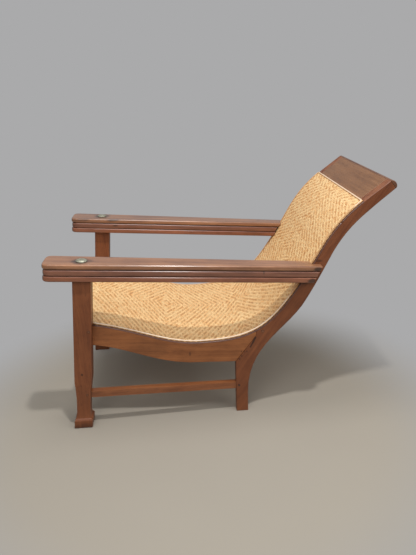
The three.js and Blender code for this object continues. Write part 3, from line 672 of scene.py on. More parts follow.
# On the arm boards the third colour is mostly a painted highlight, kept to their upper rounded edges.
ARM_WOOD = WoodFinish(
    "arm_wood", paint(112, 72, 50), paint(172, 121, 86), paint(238, 192, 160),
    coat=0.75, coat_roughness=0.2)
LEAF_WOOD = WoodFinish(
    "leaf_wood", paint(90, 54, 41), paint(150, 98, 74), paint(226, 170, 142),
    coat=0.75, coat_roughness=0.2)
UNDER_WOOD = WoodFinish(
    "under_wood", paint(98, 55, 37), paint(162, 101, 71), paint(226, 170, 142),
    coat=0.75, coat_roughness=0.2)
STRETCHER_WOOD = WoodFinish(
    "stretcher_wood", paint(106, 58, 33), paint(160, 100, 60), paint(184, 130, 90), streak_contrast=0.8)
BEAD_WOOD = WoodFinish(
    "bead_wood", paint(78, 48, 40), paint(126, 86, 68), paint(156, 116, 98), roughness=0.32)
PEG_WOOD = WoodFinish(
    "peg_wood", paint(96, 58, 38), paint(142, 92, 62), paint(120, 76, 50), roughness=0.5, coat=0.1)
DARK_PEG_WOOD = WoodFinish(
    "dark_peg_wood", paint(54, 32, 26), paint(80, 50, 38), paint(70, 44, 34), roughness=0.5, coat=0.1)


# Shapes
@dataclass
class SeatLine:
    """The curve along the top of the seat rails and up the front of the stiles.

    Its corners and half width are in millimetres, as in the CAD, and its samples and length in metres.
    """

    shift: float
    front: Point = (-45.0, 401.5)
    front_fall: float = 9.7
    dip: Point = (378.5, 296.6)
    bend: Point = (812.0, 630.7)
    bend_angle: float = 60.7
    crest: Point = (1026.0, 845.0)
    crest_angle: float = 36.9
    pulls: tuple[tuple[float, float], ...] = ((0.481, 0.3035), (0.405, 0.6), (0.43, 0.33))
    half_width: float = 287.0
    length: float = field(init=False)
    RUN_POINTS: ClassVar[int] = 401

    def __post_init__(self) -> None:
        """Samples the three runs of the curve and measures the way along it to each sample."""
        corners = [(self.front, -self.front_fall), (self.dip, 0.0), (self.bend, self.bend_angle),
                   (self.crest, self.crest_angle)]
        points = []
        for (start, start_angle), (end, end_angle), pulls in zip(corners, corners[1:], self.pulls):
            points.append(self.run(start, start_angle, end, end_angle, pulls))
        dense = np.concatenate([points[0]] + [run[1:] for run in points[1:]]) * MM
        dense[:, 0] += self.shift
        steps = np.linalg.norm(np.diff(dense, axis=0), axis=1)
        self.distances = np.concatenate([[0.0], np.cumsum(steps)])
        self.points = dense
        self.length = float(self.distances[-1])

    @classmethod
    def run(cls, start: Point, start_angle: float, end: Point, end_angle: float, pulls: Point) -> np.ndarray:
        """One cubic run of the curve.

        Args:
            start, end: its ends.
            start_angle, end_angle: its directions there, in degrees.
            pulls: how far the directions reach, as shares of the distance between the ends.

        Returns:
            Its points.
        """
        a, d = np.array(start), np.array(end)
        reach = float(np.linalg.norm(d - a))
        toward = np.array([math.cos(math.radians(start_angle)), math.sin(math.radians(start_angle))])
        away = np.array([math.cos(math.radians(end_angle)), math.sin(math.radians(end_angle))])
        b, c = a + toward * reach * pulls[0], d - away * reach * pulls[1]
        t = np.linspace(0.0, 1.0, cls.RUN_POINTS)[:, None]
        return (1 - t) ** 3 * a + 3 * (1 - t) ** 2 * t * b + 3 * (1 - t) * t * t * c + t ** 3 * d

    def lift(self, flat: np.ndarray) -> np.ndarray:
        """Bends flat points onto the curve.

        Args:
            flat: rows of x, distance along the curve and rise above it, in metres.

        Returns:
            Rows of x, y, z.
        """
        y, z = (np.interp(flat[:, 1], self.distances, self.points[:, i]) for i in (0, 1))
        slopes = np.gradient(self.points, self.distances, axis=0)
        ty, tz = (np.interp(flat[:, 1], self.distances, slopes[:, i]) for i in (0, 1))
        size = np.hypot(ty, tz)
        return np.column_stack([flat[:, 0], y - tz / size * flat[:, 2], z + ty / size * flat[:, 2]])

    def distance_at(self, y: float) -> float:
        """The distance along the curve at a given y, which grows all along it."""
        return float(np.interp(y, self.points[:, 0], self.distances))


def set_marks(mesh: bpy.types.Mesh, name: str, values: Iterable[float]) -> None:
    """Keeps one number on each of the mesh's points.

    Args:
        mesh: the mesh.
        name: the attribute's name.
        values: one number for each point.
    """
    attribute = mesh.attributes.new(name, "FLOAT", "POINT")
    attribute.data.foreach_set("value", np.fromiter(values, np.float32, len(mesh.vertices)))


def round_edges(shape: Shape, edges: Sequence[bmesh.types.BMEdge], reach: float,
                steps: int) -> set[bmesh.types.BMFace]:
    """Rounds edges.

    Args:
        shape: the shape.
        edges: the edges to round.
        reach: how far the rounding reaches from each edge, in metres.
        steps: the rounding's steps.

    Returns:
        The faces of the rounding.
    """
    made = bmesh.ops.bevel(
        shape, geom=edges, offset=reach, offset_type="OFFSET", segments=steps, profile=0.5,
        affect="EDGES", clamp_overlap=True, material=-1)
    return set(made["faces"])


def extend(shape: Shape, edges: Sequence[bmesh.types.BMEdge]) -> tuple[
        list[bmesh.types.BMVert], list[bmesh.types.BMEdge]]:
    """Extrudes edges in place.

    Args:
        shape: the shape.
        edges: the edges to extrude.

    Returns:
        The new points and the new edges between them.
    """
    made = bmesh.ops.extrude_edge_only(shape, edges=edges)["geom"]
    points = [g for g in made if isinstance(g, bmesh.types.BMVert)]
    known = set(points)
    return points, [g for g in made if isinstance(g, bmesh.types.BMEdge) and known.issuperset(g.verts)]


def close_up(shape: Shape) -> None:
    """Fills the holes of a shape and turns its faces outwards."""
    bmesh.ops.holes_fill(shape, edges=[e for e in shape.edges if e.is_boundary], sides=0)
    bmesh.ops.recalc_face_normals(shape, faces=shape.faces[:])


def make_object(name: str, shape: Shape, material: Material) -> Object:
    """Turns a shape, which is freed, into an object in the scene.

    Args:
        name: the object's name.
        shape: its bmesh, in place.
        material: its material.

    Returns:
        The object.
    """
    mesh = bpy.data.meshes.new(name)
    shape.to_mesh(mesh)
    shape.free()
    mesh.materials.append(material)
    made = bpy.data.objects.new(name, mesh)
    bpy.context.scene.collection.objects.link(made)
    return made


def make_piece(name: str, shape: Shape, material: Material, slot: str,
               replaced: Sequence[str], body: str = CHAIR) -> Object:
    """Turns a shape into a finished piece that rides on a body.

    Args:
        name: the piece's name.
        shape: its bmesh, in place, which is freed.
        material: its material.
        slot: the record's material slot, which is not used.
        replaced: the CAD nodes that it stands for.
        body: the body that it rides on.

    Returns:
        The piece.
    """
    for face in shape.faces:
        face.smooth = True
    piece = make_object(name, shape, material)
    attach(piece, body)
    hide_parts(*replaced)
    log.info("%s: %d faces", name, len(piece.data.polygons))
    return piece


def even_shading(piece: Object) -> None:
    """Keeps flat faces flat in the shading, with the turn only in the rounded edges.

    Args:
        piece: the piece, which gets the modifier.
    """
    modifier = piece.modifiers.new("even_shading", "WEIGHTED_NORMAL")
    modifier.mode = "FACE_AREA"
    modifier.weight = FLAT_FACE_WEIGHT


@dataclass
class Joinery:
    """The wooden pieces that are cut to the CAD's outline, with softened edges. Sizes are in metres."""

    line: SeatLine
    crest_start: float
    sharp: float = math.radians(26)
    flat: float = math.radians(0.4)
    edge: float = 0.9 * MM
    wide_edge: float = 2.0 * MM
    bleach_reach: float = 1.3 * MM
    bleach_share: float = 0.5
    outer_face: float = 0.287
    joint_start: Point = (0.1, 0.268)
    joint_rise: Point = (0.0171, 0.0346)
    joint_steps: int = 6
    worm_holes: tuple[Point, ...] = (
        (0.067, 0.2505), (0.076, 0.25), (0.0865, 0.2497), (0.067, 0.2325), (0.059, 0.2215))
    # How far behind the toe the foot's painted shadow is centred.
    foot_shade_offset: float = 0.027

    def soften(self, node: str, radius: float, segments: int) -> tuple[Shape, list[float]]:
        """Copies a CAD node and rounds its edges.

        Args:
            node: the CAD node.
            radius: how far the rounding reaches from each edge, in metres.
            segments: the rounding's steps.

        Returns:
            The shape, and for each point 1 where it lies on a rounded edge or 0.
        """
        shape = bmesh.new()
        shape.from_mesh(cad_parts[node].data)
        bmesh.ops.remove_doubles(shape, verts=shape.verts[:], dist=MERGE)
        bmesh.ops.dissolve_limit(
            shape, angle_limit=self.flat, verts=shape.verts[:], edges=shape.edges[:])
        edges = [e for e in shape.edges if len(e.link_faces) == 2 and e.calc_face_angle() > self.sharp]
        faces = round_edges(shape, edges, radius, segments)
        shape.verts.ensure_lookup_table()
        wear_and_highlight = [1.0 if v.link_faces and all(f in faces for f in v.link_faces) else 0.0 for v in shape.verts]
        return shape, wear_and_highlight

    def dress(self, node: str, finish: WoodFinish, slot: str, grain: Grain, seed: float,
              marks: Sequence[Mark] = (), body: str = CHAIR, radius: Optional[float] = None) -> Object:
        """Makes the finished piece of one CAD node.

        Args:
            node: the CAD node.
            finish: its wood.
            slot: the record's material slot.
            grain: how its grain lies.
            seed: moves its pattern.
            marks: its dark spots.
            body: the body that it rides on.
            radius: how far its rounded edges reach, or None for the usual way.

        Returns:
            The piece.
        """
        radius = radius or self.edge
        segments = 4 if radius > self.wide_edge else 2
        shape, wear_and_highlight = self.soften(node, radius, segments)
        piece = make_piece(
            f"{node}_finished", shape, finish.material(grain, seed, marks), slot, [node], body)
        set_marks(piece.data, "edge", wear_and_highlight)
        even_shading(piece)
        return piece

    def bleach(self, stile: Object) -> None:
        """Gives a stile's front beside the crest board that board's lighter tone.

        Args:
            stile: the finished stile.
        """
        start = np.searchsorted(self.line.distances, self.crest_start)
        front = self.line.points[start:]
        edge = stile.data.attributes["edge"].data
        for i, v in enumerate(stile.data.vertices):
            if np.hypot(*(front - (v.co.y, v.co.z)).T).min() < self.bleach_reach:
                edge[i].value = self.bleach_share

    def joint_marks(self) -> list[Mark]:
        """The open joint of rail and rear leg on the left side, with worm-eaten spots below it.

        Returns:
            The marks, which rail and leg share.
        """
        (y, z), (run, rise), steps = self.joint_start, self.joint_rise, self.joint_steps
        gap = [(y + run * i / steps, z + rise * i / steps) for i in range(steps + 1)]
        return ([Mark((self.outer_face, *spot), (0.02, 0.0042, 0.0055), 0.85) for spot in gap]
                + [Mark((self.outer_face, *spot), (0.02, 0.0035, 0.0045), 0.6) for spot in self.worm_holes])

    def build(self) -> None:
        """Makes legs, stiles, rails and crest."""
        joint = self.joint_marks()
        knot = Mark((self.outer_face, -0.119, 0.2536), (0.02, 0.005, 0.010), 0.5)
        # A faint painted shadow on the near seat rail's outer face.
        rail_shadow = Mark((self.outer_face, -0.262, 0.285), (0.05, 0.085, 0.045), 0.17)
        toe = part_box("front_leg_left")[0].y
        # Painted contact shadow low on the near front foot, where it stands on the floor.
        foot_shade = Mark((0.3, toe + self.foot_shade_offset, 0.0), (0.09, 0.09, 0.026), 0.45)
        spot = Mark((0.3275, -0.5006, 0.22), (0.02, 0.0045, 0.0055), 0.8)
        # Painted shadows on the near stile just above and just below the arm.
        arm_shade = [Mark((0.3, 0.336, 0.581), (0.04, 0.018, 0.007), 0.6),
                 Mark((0.3, 0.2935, 0.504), (0.04, 0.030, 0.007), 0.5)]
        frame_pieces = [
            ("front_leg", FRAME_WOOD, "frame_wood", Grain.LEG, [foot_shade, spot]),
            ("rear_leg_stile", FRAME_WOOD, "frame_wood", Grain.STILE, [*joint, *arm_shade]),
            ("side_seat_rail", RAIL_WOOD, "frame_wood", Grain.RAIL, [*joint, knot, rail_shadow]),
            ("side_stretcher", STRETCHER_WOOD, "stretcher_wood", Grain.STRETCHER, []),
        ]
        for i, (name, finish, slot, grain, marks) in enumerate(frame_pieces):
            seed = FRAME_SEED + 2 * i
            left = self.dress(f"{name}_left", finish, slot, grain, seed, marks)
            right = self.dress(f"{name}_right", finish, slot, grain, seed + 1)
            if name == "rear_leg_stile":
                self.bleach(left)
                self.bleach(right)
        crosswise = [("front_seat_rail", FRAME_WOOD), ("rear_seat_rail", FRAME_WOOD),
                     ("crest_rail", CREST_WOOD), ("crest_cap", CAP_WOOD)]
        for seed, (node, finish) in enumerate(crosswise, start=CROSSWISE_SEED):
            self.dress(node, finish, "frame_wood", Grain.ACROSS, seed)


@dataclass
class Arms:
    """The three boards of each arm and its pivot bolt. The rim's points count from the head's radius."""

    joinery: Joinery
    slope: float = ARM_SLOPE
    pivot_x: float = 0.301
    height: float = 0.63
    shift: float = 0.0
    head_radius: float = 19.0 * MM
    head_height: float = 7.0 * MM
    board_edge: float = 5.2 * MM
    flat_skin: float = 0.1 * MM
    joint_above: float = 0.8 * MM
    joint_below: float = 1.7 * MM
    # Share of painted shade along the bottom board's lower edge.
    underside_shade: float = 0.5
    shank_radius: float = 6.0 * MM
    shank_length: float = 105.0 * MM
    shank_chamfer: float = 0.5 * MM
    head_gap: float = 0.3 * MM
    rim: tuple[Point, ...] = ((-0.6 * MM, 0.3 * MM), (0.0, 0.9 * MM), (0.0, 1.5 * MM), (-0.7 * MM, 2.3 * MM))
    dome_inset: float = 2.0 * MM
    dome_base: float = 2.5 * MM
    dome_steps: int = 8
    around: int = 40
    shade_heights: Point = (1.0 * MM, 2.0 * MM)
    halo_radii: Triple = (0.037, 0.037, 0.03)
    rear_x: float = 0.315
    rear_over: Point = (0.327, 0.561)
    rear_under: Point = (0.310, 0.5206)
    rear_radii: Triple = (0.022, 0.018, 0.009)
    tip_x: float = 0.32
    tip_height: float = 0.61
    tip_radii: Triple = (0.08, 0.009, 0.04)
    top_wear: Mapping[str, tuple[Mark, ...]] = field(default_factory=lambda: {
        "left": (),
        "right": (Mark((-0.2465, -0.408, 0.6225), (0.016, 0.034, 0.006), 0.75),
                  Mark((-0.2465, -0.547, 0.6300), (0.02, 0.045, 0.008), 0.5))})
    leaf_wear: Mapping[str, tuple[Mark, ...]] = field(default_factory=lambda: {
        "left": (Mark((0.322, 0.1417, 0.5636), (0.02, 0.0028, 0.012), 0.8),),
        "right": (Mark((-0.2465, -0.402, 0.5985), (0.016, 0.013, 0.005), 0.75),)})

    def build(self) -> None:
        """Makes the boards and the bolts."""
        for i, (side, sign) in enumerate(SIDES):
            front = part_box(f"arm_bottom_board_{side}")[0].y
            halo = Mark((sign * self.pivot_x, self.shift, self.height), self.halo_radii, 0.9)
            over, under = (Mark((sign * self.rear_x, *place), self.rear_radii, 0.85)
                           for place in (self.rear_over, self.rear_under))
            tip = Mark((sign * self.tip_x, front, self.tip_height), self.tip_radii, 0.5)
            boards = [("arm_top_board", ARM_WOOD, [halo, over, tip, *self.top_wear[side]], CHAIR),
                      ("leg_rest_leaf", LEAF_WOOD, [tip, *self.leaf_wear[side]], f"leaf_{side}"),
                      ("arm_bottom_board", UNDER_WOOD, [under, tip], CHAIR)]
            for layer, (name, finish, marks, body) in enumerate(boards):
                seed = ARM_SEED + 2 * layer + i
                board = self.joinery.dress(
                    f"{name}_{side}", finish, "arm_wood", Grain.ARM, seed, marks, body, self.board_edge)
                self.shade_and_highlight_edges(board, side, layer)
            self.bolt(side)

    def shade_and_highlight_edges(self, board: Object, side: str, layer: int) -> None:
        """Paints shade into a board's rounded edges where it meets its neighbours, more lightly along the
        bottom board's underside, and keeps its painted highlight to its upper edges.

        Args:
            board: the finished board.
            side: left or right.
            layer: 0 for the top board, 1 for the leaf, 2 for the bottom board.
        """
        to_arm = self.frame_of(side).inverted()
        heights = np.array([(to_arm @ v.co).z for v in board.data.vertices])
        low, high = heights.min(), heights.max()
        above, below = heights - low, high - heights
        # Painted shade in the grooves between boards, and at a lesser share under the bottom board.
        share = self.underside_shade if layer == 2 else 1.0
        shade_and_grime = np.where((above > self.flat_skin) & (above < self.joint_below), share, 0.0)
        if layer > 0:
            shade_and_grime = np.where((below > self.flat_skin) & (below < self.joint_above), 1.0, shade_and_grime)
        set_marks(board.data, "shade_and_grime", shade_and_grime)
        # The painted highlight stays on the upper rounded edges; the lower ones get none.
        wear_and_highlight = board.data.attributes["edge"].data
        for i in np.flatnonzero(heights < (low + high) / 2):
            wear_and_highlight[int(i)].value = 0.0

    def frame_of(self, side: str) -> Matrix:
        """The arm's own frame, with its origin on the bolt's axis at the arm's top."""
        x = self.pivot_x if side == "left" else -self.pivot_x
        return Matrix.Translation((x, self.shift, self.height)) @ Matrix.Rotation(-self.slope, 4, "X")

    def bolt(self, side: str) -> Object:
        """Turns the bolt from its profile: a low dome with a rim, over a plain shank.

        Args:
            side: left or right.

        Returns:
            The piece.
        """
        head, top, shank, end = self.head_radius, self.head_height, self.shank_radius, -self.shank_length
        profile = [(0.0, end), (shank - self.shank_chamfer, end), (shank, end + self.shank_chamfer),
                   (shank, self.head_gap), *((head + out, up) for out, up in self.rim)]
        for i in range(1, self.dome_steps):
            angle = math.pi / 2 * i / self.dome_steps
            profile.append(((head - self.dome_inset) * math.cos(angle),
                            self.dome_base + (top - self.dome_base) * math.sin(angle)))
        profile.append((0.0, top))
        shape = bmesh.new()
        points = [shape.verts.new((radius, 0.0, height)) for radius, height in profile]
        edges = [shape.edges.new(pair) for pair in zip(points, points[1:])]
        bmesh.ops.spin(
            shape, geom=points + edges, cent=(0, 0, 0), axis=(0, 0, 1), angle=2 * math.pi,
            steps=self.around, use_merge=True, use_duplicate=False)
        bmesh.ops.remove_doubles(shape, verts=shape.verts[:], dist=MERGE)
        bmesh.ops.recalc_face_normals(shape, faces=shape.faces[:])
        # Painted shade below the head's rim, where it sits on the arm, and down the shank.
        full, part = self.shade_heights
        shade_and_grime = [1.0 if v.co.z < full else 0.3 if v.co.z < part else 0.0 for v in shape.verts]
        bmesh.ops.transform(shape, matrix=self.frame_of(side), verts=shape.verts[:])
        piece = make_piece(
            f"pivot_bolt_{side}_finished", shape, MetalFinish().material(), "bolt_metal",
            [f"pivot_bolt_{side}"])
        set_marks(piece.data, "shade_and_grime", shade_and_grime)
        return piece


@dataclass
class CanePanel:
    """The woven panel: a closed sheet with the relief of its twill on the sitter's side."""

    line: SeatLine
    end: float
    twill: Twill = Twill()
    half_width: float = 280.7 * MM
    underside: float = 0.3 * MM
    top: float = 2.7 * MM
    relief: float = 0.45 * MM

    def build(self) -> Object:
        """Makes the panel.

        Returns:
            The piece.
        """
        shape = bmesh.new()
        bmesh.ops.create_grid(shape, x_segments=2 * self.twill.columns, y_segments=self.twill.rows, size=0.5)
        sides = [e for e in shape.edges
                 if e.is_boundary and all(abs(abs(v.co.x) - 0.5) < TINY for v in e.verts)]
        for v in shape.verts:
            v.co.z = 1.0
        low, low_edges = extend(shape, sides)
        for v in low:
            v.co.z = 0.0
        bmesh.ops.bridge_loops(shape, edges=low_edges)
        close_up(shape)
        flat = np.array([v.co for v in shape.verts])
        column = flat[:, 0] * self.twill.columns
        row = (flat[:, 1] + 0.5) * self.twill.rows
        heights = np.where(flat[:, 2] > 0.5, self.top + self.relief * self.wale(column, row), self.underside)
        bent = self.line.lift(
            np.column_stack([flat[:, 0] * 2 * self.half_width, row / self.twill.rows * self.end, heights]))
        for v, place in zip(shape.verts, bent):
            v.co = place
        piece = make_piece(
            "cane_panel_woven", shape, WeaveFinish(self.twill).material(), "woven_cane", ["cane_panel"])
        set_marks(piece.data, "across", column)
        set_marks(piece.data, "along", row)
        return piece

    def wale(self, column: np.ndarray, row: np.ndarray) -> np.ndarray:
        """The height of the twill's diagonal ridges.

        Args:
            column, row: strand numbers at each point.

        Returns:
            Heights from -1 to 1.
        """
        x, y = self.twill.fold(column, row, ON_ARRAYS)
        return np.cos((x + y - (self.twill.over + 1) / 2) * self.twill.turn)


@dataclass
class Strips:
    """The pieces that run along the panel's edges: pale binding and rounded wooden beads."""

    line: SeatLine
    panel: CanePanel
    step: float = 9.0 * MM
    binding_width: float = 6.0 * MM
    binding_inset: float = 0.5 * MM
    binding_low: float = 3.6 * MM
    binding_shoulder: float = 4.1 * MM
    binding_high: float = 5.6 * MM
    crown_points: int = 9
    corner_points: int = 9
    crest_points: int = 24
    front_points: int = 60
    corner: float = 9.0 * MM
    leg_inner: float = 273.4 * MM
    leg_rear: float = 10.9 * MM
    bead_width: float = 6.0 * MM
    bead_depth: float = 4.0 * MM
    bead_radius: float = 3.2 * MM
    bead_chamfer: float = 0.3 * MM
    bead_points: int = 7
    bead_joint: float = 100.3 * MM
    fit: float = 0.3 * MM

    def sweep(self, name: str, path: Sequence[Point], section: Sequence[Point], material: Material,
              slot: str, replaced: Sequence[str], mirrored: bool = False) -> Object:
        """Sweeps a section along a path on the seat line's surface.

        Args:
            name: the piece's name.
            path: points of x and distance along the seat line.
            section: points of the offset to the path's right and the rise, anticlockwise.
            material: the piece's material.
            slot: the record's material slot.
            replaced: the CAD nodes that it stands for.
            mirrored: whether the way along it is counted from the nearer end.

        Returns:
            The piece.
        """
        places = np.array(path)
        ahead = np.gradient(places, axis=0)
        ahead /= np.linalg.norm(ahead, axis=1)[:, None]
        right = np.column_stack([ahead[:, 1], -ahead[:, 0]])
        run = np.concatenate([[0.0], np.cumsum(np.linalg.norm(np.diff(places, axis=0), axis=1))])
        if mirrored:
            run = np.minimum(run, run[-1] - run)
        rings = [self.line.lift(np.array([(*(place + side * w), h) for w, h in section]))
                 for place, side in zip(places, right)]
        shape = bmesh.new()
        across, along = shape.verts.layers.float.new("across"), shape.verts.layers.float.new("along")
        ring = [shape.verts.new(p) for p in rings[0]]
        edges = [shape.edges.new((ring[i - 1], ring[i])) for i in range(len(ring))]
        shape.faces.new(ring)
        for v, (w, _) in zip(ring, section):
            v[across] = w
        for before, after, way in zip(rings, rings[1:], run[1:]):
            fresh, edges = extend(shape, edges)
            for v in fresh:
                nearest = min(range(len(ring)), key=lambda k: (Vector(before[k]) - v.co).length_squared)
                v.co = after[nearest]
                v[along] = way
                v[across] = section[nearest][0]
        close_up(shape)
        return make_piece(name, shape, material, slot, replaced)

    def straight(self, x: float, start: float, end: float) -> list[Point]:
        """A path along the seat line at one x."""
        count = max(2, int(abs(end - start) / self.step))
        return [(x, start + (end - start) * i / count) for i in range(count + 1)]

    def binding_section(self) -> list[Point]:
        """The binding's section, flat below and softly crowned.

        Returns:
            Its points, anticlockwise.
        """
        half, low, shoulder = self.binding_width / 2, self.binding_low, self.binding_shoulder
        crown = [(half * math.cos(a), shoulder + (self.binding_high - shoulder) * math.sin(a))
                 for a in np.linspace(0, math.pi, self.crown_points)]
        return [(-half, low), (half, low), *crown]

    def build(self) -> None:
        """Makes the bindings and the beads."""
        middle = self.panel.half_width - self.binding_inset - self.binding_width / 2
        top = self.panel.end - self.binding_width / 2
        front = self.line.distance_at(self.line.shift + self.leg_rear)
        side = self.straight(middle, front, top - self.corner)
        turn = [(middle - self.corner * (1 - math.cos(a)), top - self.corner * (1 - math.sin(a)))
                for a in np.linspace(0, math.pi / 2, self.corner_points)][1:]
        crossing = [(x, top) for x in np.linspace(middle - self.corner, 0, self.crest_points)][1:]
        half = side + turn + crossing
        whole = half + [(-x, s) for x, s in half[-2::-1]]
        section, finish = self.binding_section(), StripFinish()
        self.sweep(
            "cane_binding_sides_and_crest", whole, section, finish.material(), "binding_cane",
            ["side_cane_binding_left", "side_cane_binding_right", "crest_cane_binding"], mirrored=True)
        across = [(x, self.binding_width / 2)
                  for x in np.linspace(-self.leg_inner, self.leg_inner, self.front_points)]
        self.sweep(
            "cane_binding_front", across, section, finish.material(), "binding_cane", ["front_cane_binding"])
        for i, (side_name, sign) in enumerate(SIDES):
            self.bead(side_name, sign, i)

    def bead_section(self, sign: int) -> list[Point]:
        """The bead's section for one side: a quarter round at the top of its outer side.

        Args:
            sign: 1 for the left side, -1 for the right one.

        Returns:
            Its points, anticlockwise.
        """
        outer, radius = self.bead_width / 2, self.bead_radius
        arc = [(outer - radius + radius * math.cos(a), -radius + radius * math.sin(a))
               for a in np.linspace(0, math.pi / 2, self.bead_points)]
        points = [(-outer, 0.0), (-outer, -self.bead_depth), (outer - self.bead_chamfer, -self.bead_depth),
                  (outer, -self.bead_depth + self.bead_chamfer), *arc]
        return points if sign > 0 else [(-w, h) for w, h in reversed(points)]

    def bead(self, side: str, sign: int, number: int) -> None:
        """Makes the two lengths of bead on one side.

        Args:
            side: left or right.
            sign: 1 for the left side, -1 for the right one.
            number: the side's number, which moves the patterns.
        """
        x = sign * (self.line.half_width * MM - self.bead_width / 2)
        front = self.line.distance_at(self.line.shift + self.leg_rear)
        joint = self.panel.end - self.bead_joint
        lengths = ((f"seat_edge_bead_{side}", front, joint, SEAT_BEAD_SEED),
                   (f"back_edge_bead_{side}", joint + self.fit, self.panel.end, BACK_BEAD_SEED))
        for node, start, end, seed in lengths:
            self.sweep(
                f"{node}_finished", self.straight(x, start, end), self.bead_section(sign),
                BEAD_WOOD.material(Grain.ALONG_STRIP, seed + number), "bead_wood", [node])


@dataclass
class Pegs:
    """The round wooden pegs, each with a crowned face and a dark ring where it meets the wood."""

    names: tuple[str, ...] = (
        "front_leg_rail_peg", "front_leg_stretcher_peg", "rear_leg_stretcher_peg", "rail_joint_peg")
    sides: int = 28
    rim: float = 0.5 * MM
    rim_steps: int = 3
    crown_inset: float = 0.16
    crown: float = 0.12 * MM
    grime_ring: float = 0.55 * MM

    def build(self) -> None:
        """Makes every peg."""
        for i, name in enumerate(self.names):
            for j, (side, sign) in enumerate(SIDES):
                self.peg(f"{name}_{side}", sign, PEG_SEED + 2 * i + j)

    def peg(self, node: str, sign: int, seed: float) -> Object:
        """Makes one peg in its CAD node's box.

        Args:
            node: the CAD node.
            sign: 1 where its face looks to +X, -1 where it looks to -X.
            seed: moves its pattern.

        Returns:
            The piece.
        """
        low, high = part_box(node)
        middle, size = (low + high) / 2, high - low
        shape = bmesh.new()
        bmesh.ops.create_cone(
            shape, cap_ends=True, segments=self.sides, radius1=size.y / 2, radius2=size.y / 2, depth=size.x)
        rims = [e for e in shape.edges if abs(e.verts[0].co.z - e.verts[1].co.z) < TINY]
        round_edges(shape, rims, self.rim, self.rim_steps)
        caps = [f for f in shape.faces if len(f.verts) == self.sides]
        bmesh.ops.inset_individual(
            shape, faces=caps, thickness=size.y * self.crown_inset, depth=self.crown)
        ring = size.y / 2 - self.grime_ring
        shade_and_grime = [1.0 if math.hypot(v.co.x, v.co.y) > ring else 0.0 for v in shape.verts]
        turn = Matrix.Rotation(sign * math.pi / 2, 4, "Y")
        bmesh.ops.transform(shape, matrix=Matrix.Translation(middle) @ turn, verts=shape.verts[:])
        finish = DARK_PEG_WOOD if node.startswith("rear_leg") else PEG_WOOD
        piece = make_piece(
            f"{node}_finished", shape, finish.material(Grain.END, seed), "peg_wood", [node])
        set_marks(piece.data, "shade_and_grime", shade_and_grime)
        return piece


class Lamp(NamedTuple):
    """A square soft light: its place, the point it looks at, its size in metres and its power in watts."""

    name: str
    place: Triple
    target: Triple
    size: float
    power: float


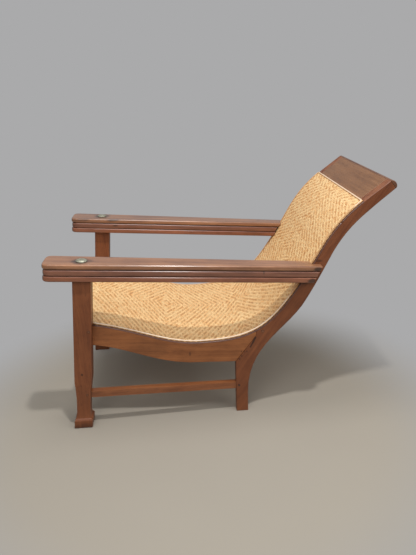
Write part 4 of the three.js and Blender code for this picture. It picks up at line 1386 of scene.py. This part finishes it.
@dataclass
class Studio:
    """A plain pale floor, soft light from above and the photograph's camera."""

    place: Triple = (2.0245, -0.14225, 1.1989)
    pitch: float = math.radians(20.66)
    yaw: float = math.radians(3.21)
    roll: float = math.radians(-2.0)
    lens: float = 35.41
    sensor: float = 36.0
    floor_size: float = 30.0
    sky: Colour = paint(240, 243, 248)
    sky_strength: float = 0.37
    lamps: tuple[Lamp, ...] = (
        Lamp("key", (1.02, 0.15, 3.2), (0.1, 0.0, 0.3), 0.12, 41.0),
        Lamp("overhead", (0.2, -0.2, 3.3), (0.1, 0.0, 0.3), 0.9, 21.0),
        Lamp("side_fill", (2.1, -0.7, 2.3), (0.1, 0.0, 0.4), 1.4, 21.0),
        Lamp("rear_fill", (1.5, 1.9, 2.0), (0.1, 0.3, 0.2), 1.6, 18.0))

    def build(self) -> None:
        """Makes floor, lights, world and camera."""
        self.floor()
        for lamp in self.lamps:
            self.light(lamp)
        self.world()
        self.camera()

    def floor(self) -> None:
        """Makes the floor."""
        shape = bmesh.new()
        bmesh.ops.create_grid(shape, x_segments=1, y_segments=1, size=self.floor_size / 2)
        make_object("floor", shape, FloorFinish().material())

    @staticmethod
    def light(lamp: Lamp) -> None:
        """Makes one lamp.

        Args:
            lamp: what it is like.
        """
        data = bpy.data.lights.new(lamp.name, "AREA")
        data.shape = "SQUARE"
        data.size = lamp.size
        data.energy = lamp.power
        made = bpy.data.objects.new(lamp.name, data)
        made.location = lamp.place
        ahead = Vector(lamp.target) - Vector(lamp.place)
        made.rotation_euler = ahead.to_track_quat("-Z", "Y").to_euler()
        bpy.context.scene.collection.objects.link(made)

    def world(self) -> None:
        """Gives the world an even light and, to the camera, the backdrop's colour."""
        world = bpy.data.worlds.new("studio")
        bpy.context.scene.world = world
        graph = Graph(world)
        light = graph.node("ShaderNodeBackground", inputs={"Color": self.sky, "Strength": self.sky_strength})
        backdrop = graph.node("ShaderNodeBackground", inputs={"Color": BACKDROP})
        seen = graph.node("ShaderNodeLightPath", output="Is Camera Ray")
        mixed = graph.node("ShaderNodeMixShader", inputs={0: seen, 1: light, 2: backdrop})
        graph.end(mixed, "ShaderNodeOutputWorld")

    def camera(self) -> None:
        """Sets the camera at the photograph's place and angle."""
        pitch, yaw = self.pitch, self.yaw
        ahead = Vector((-math.cos(pitch) * math.cos(yaw), math.cos(pitch) * math.sin(yaw), -math.sin(pitch)))
        right = ahead.cross(Vector((0, 0, 1))).normalized()
        up = right.cross(ahead)
        right, up = (right * math.cos(self.roll) + up * math.sin(self.roll),
                     up * math.cos(self.roll) - right * math.sin(self.roll))
        data = bpy.data.cameras.new("camera")
        data.sensor_width = self.sensor
        data.lens = self.lens
        camera = bpy.data.objects.new("camera", data)
        bpy.context.scene.collection.objects.link(camera)
        turn = Matrix((right, up, -ahead)).transposed().to_4x4()
        camera.matrix_world = Matrix.Translation(self.place) @ turn
        bpy.context.scene.camera = camera


def main() -> None:
    """Builds every part of the chair and the studio round it."""
    logging.basicConfig(level=logging.INFO, format="%(name)s %(message)s")
    bpy.context.scene.view_settings.view_transform = "Standard"
    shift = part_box("rear_leg_stile_left")[0].y - REAR_LEG_FRONT * MM
    line = SeatLine(shift)
    panel = CanePanel(line, end=line.length - (CREST_HEIGHT - CANE_CREST_LAP) * MM)
    joinery = Joinery(line, panel.end)
    joinery.build()
    Arms(joinery, shift=shift).build()
    panel.build()
    Strips(line, panel).build()
    Pegs().build()
    Studio().build()


if __name__ == "__main__":
    main()
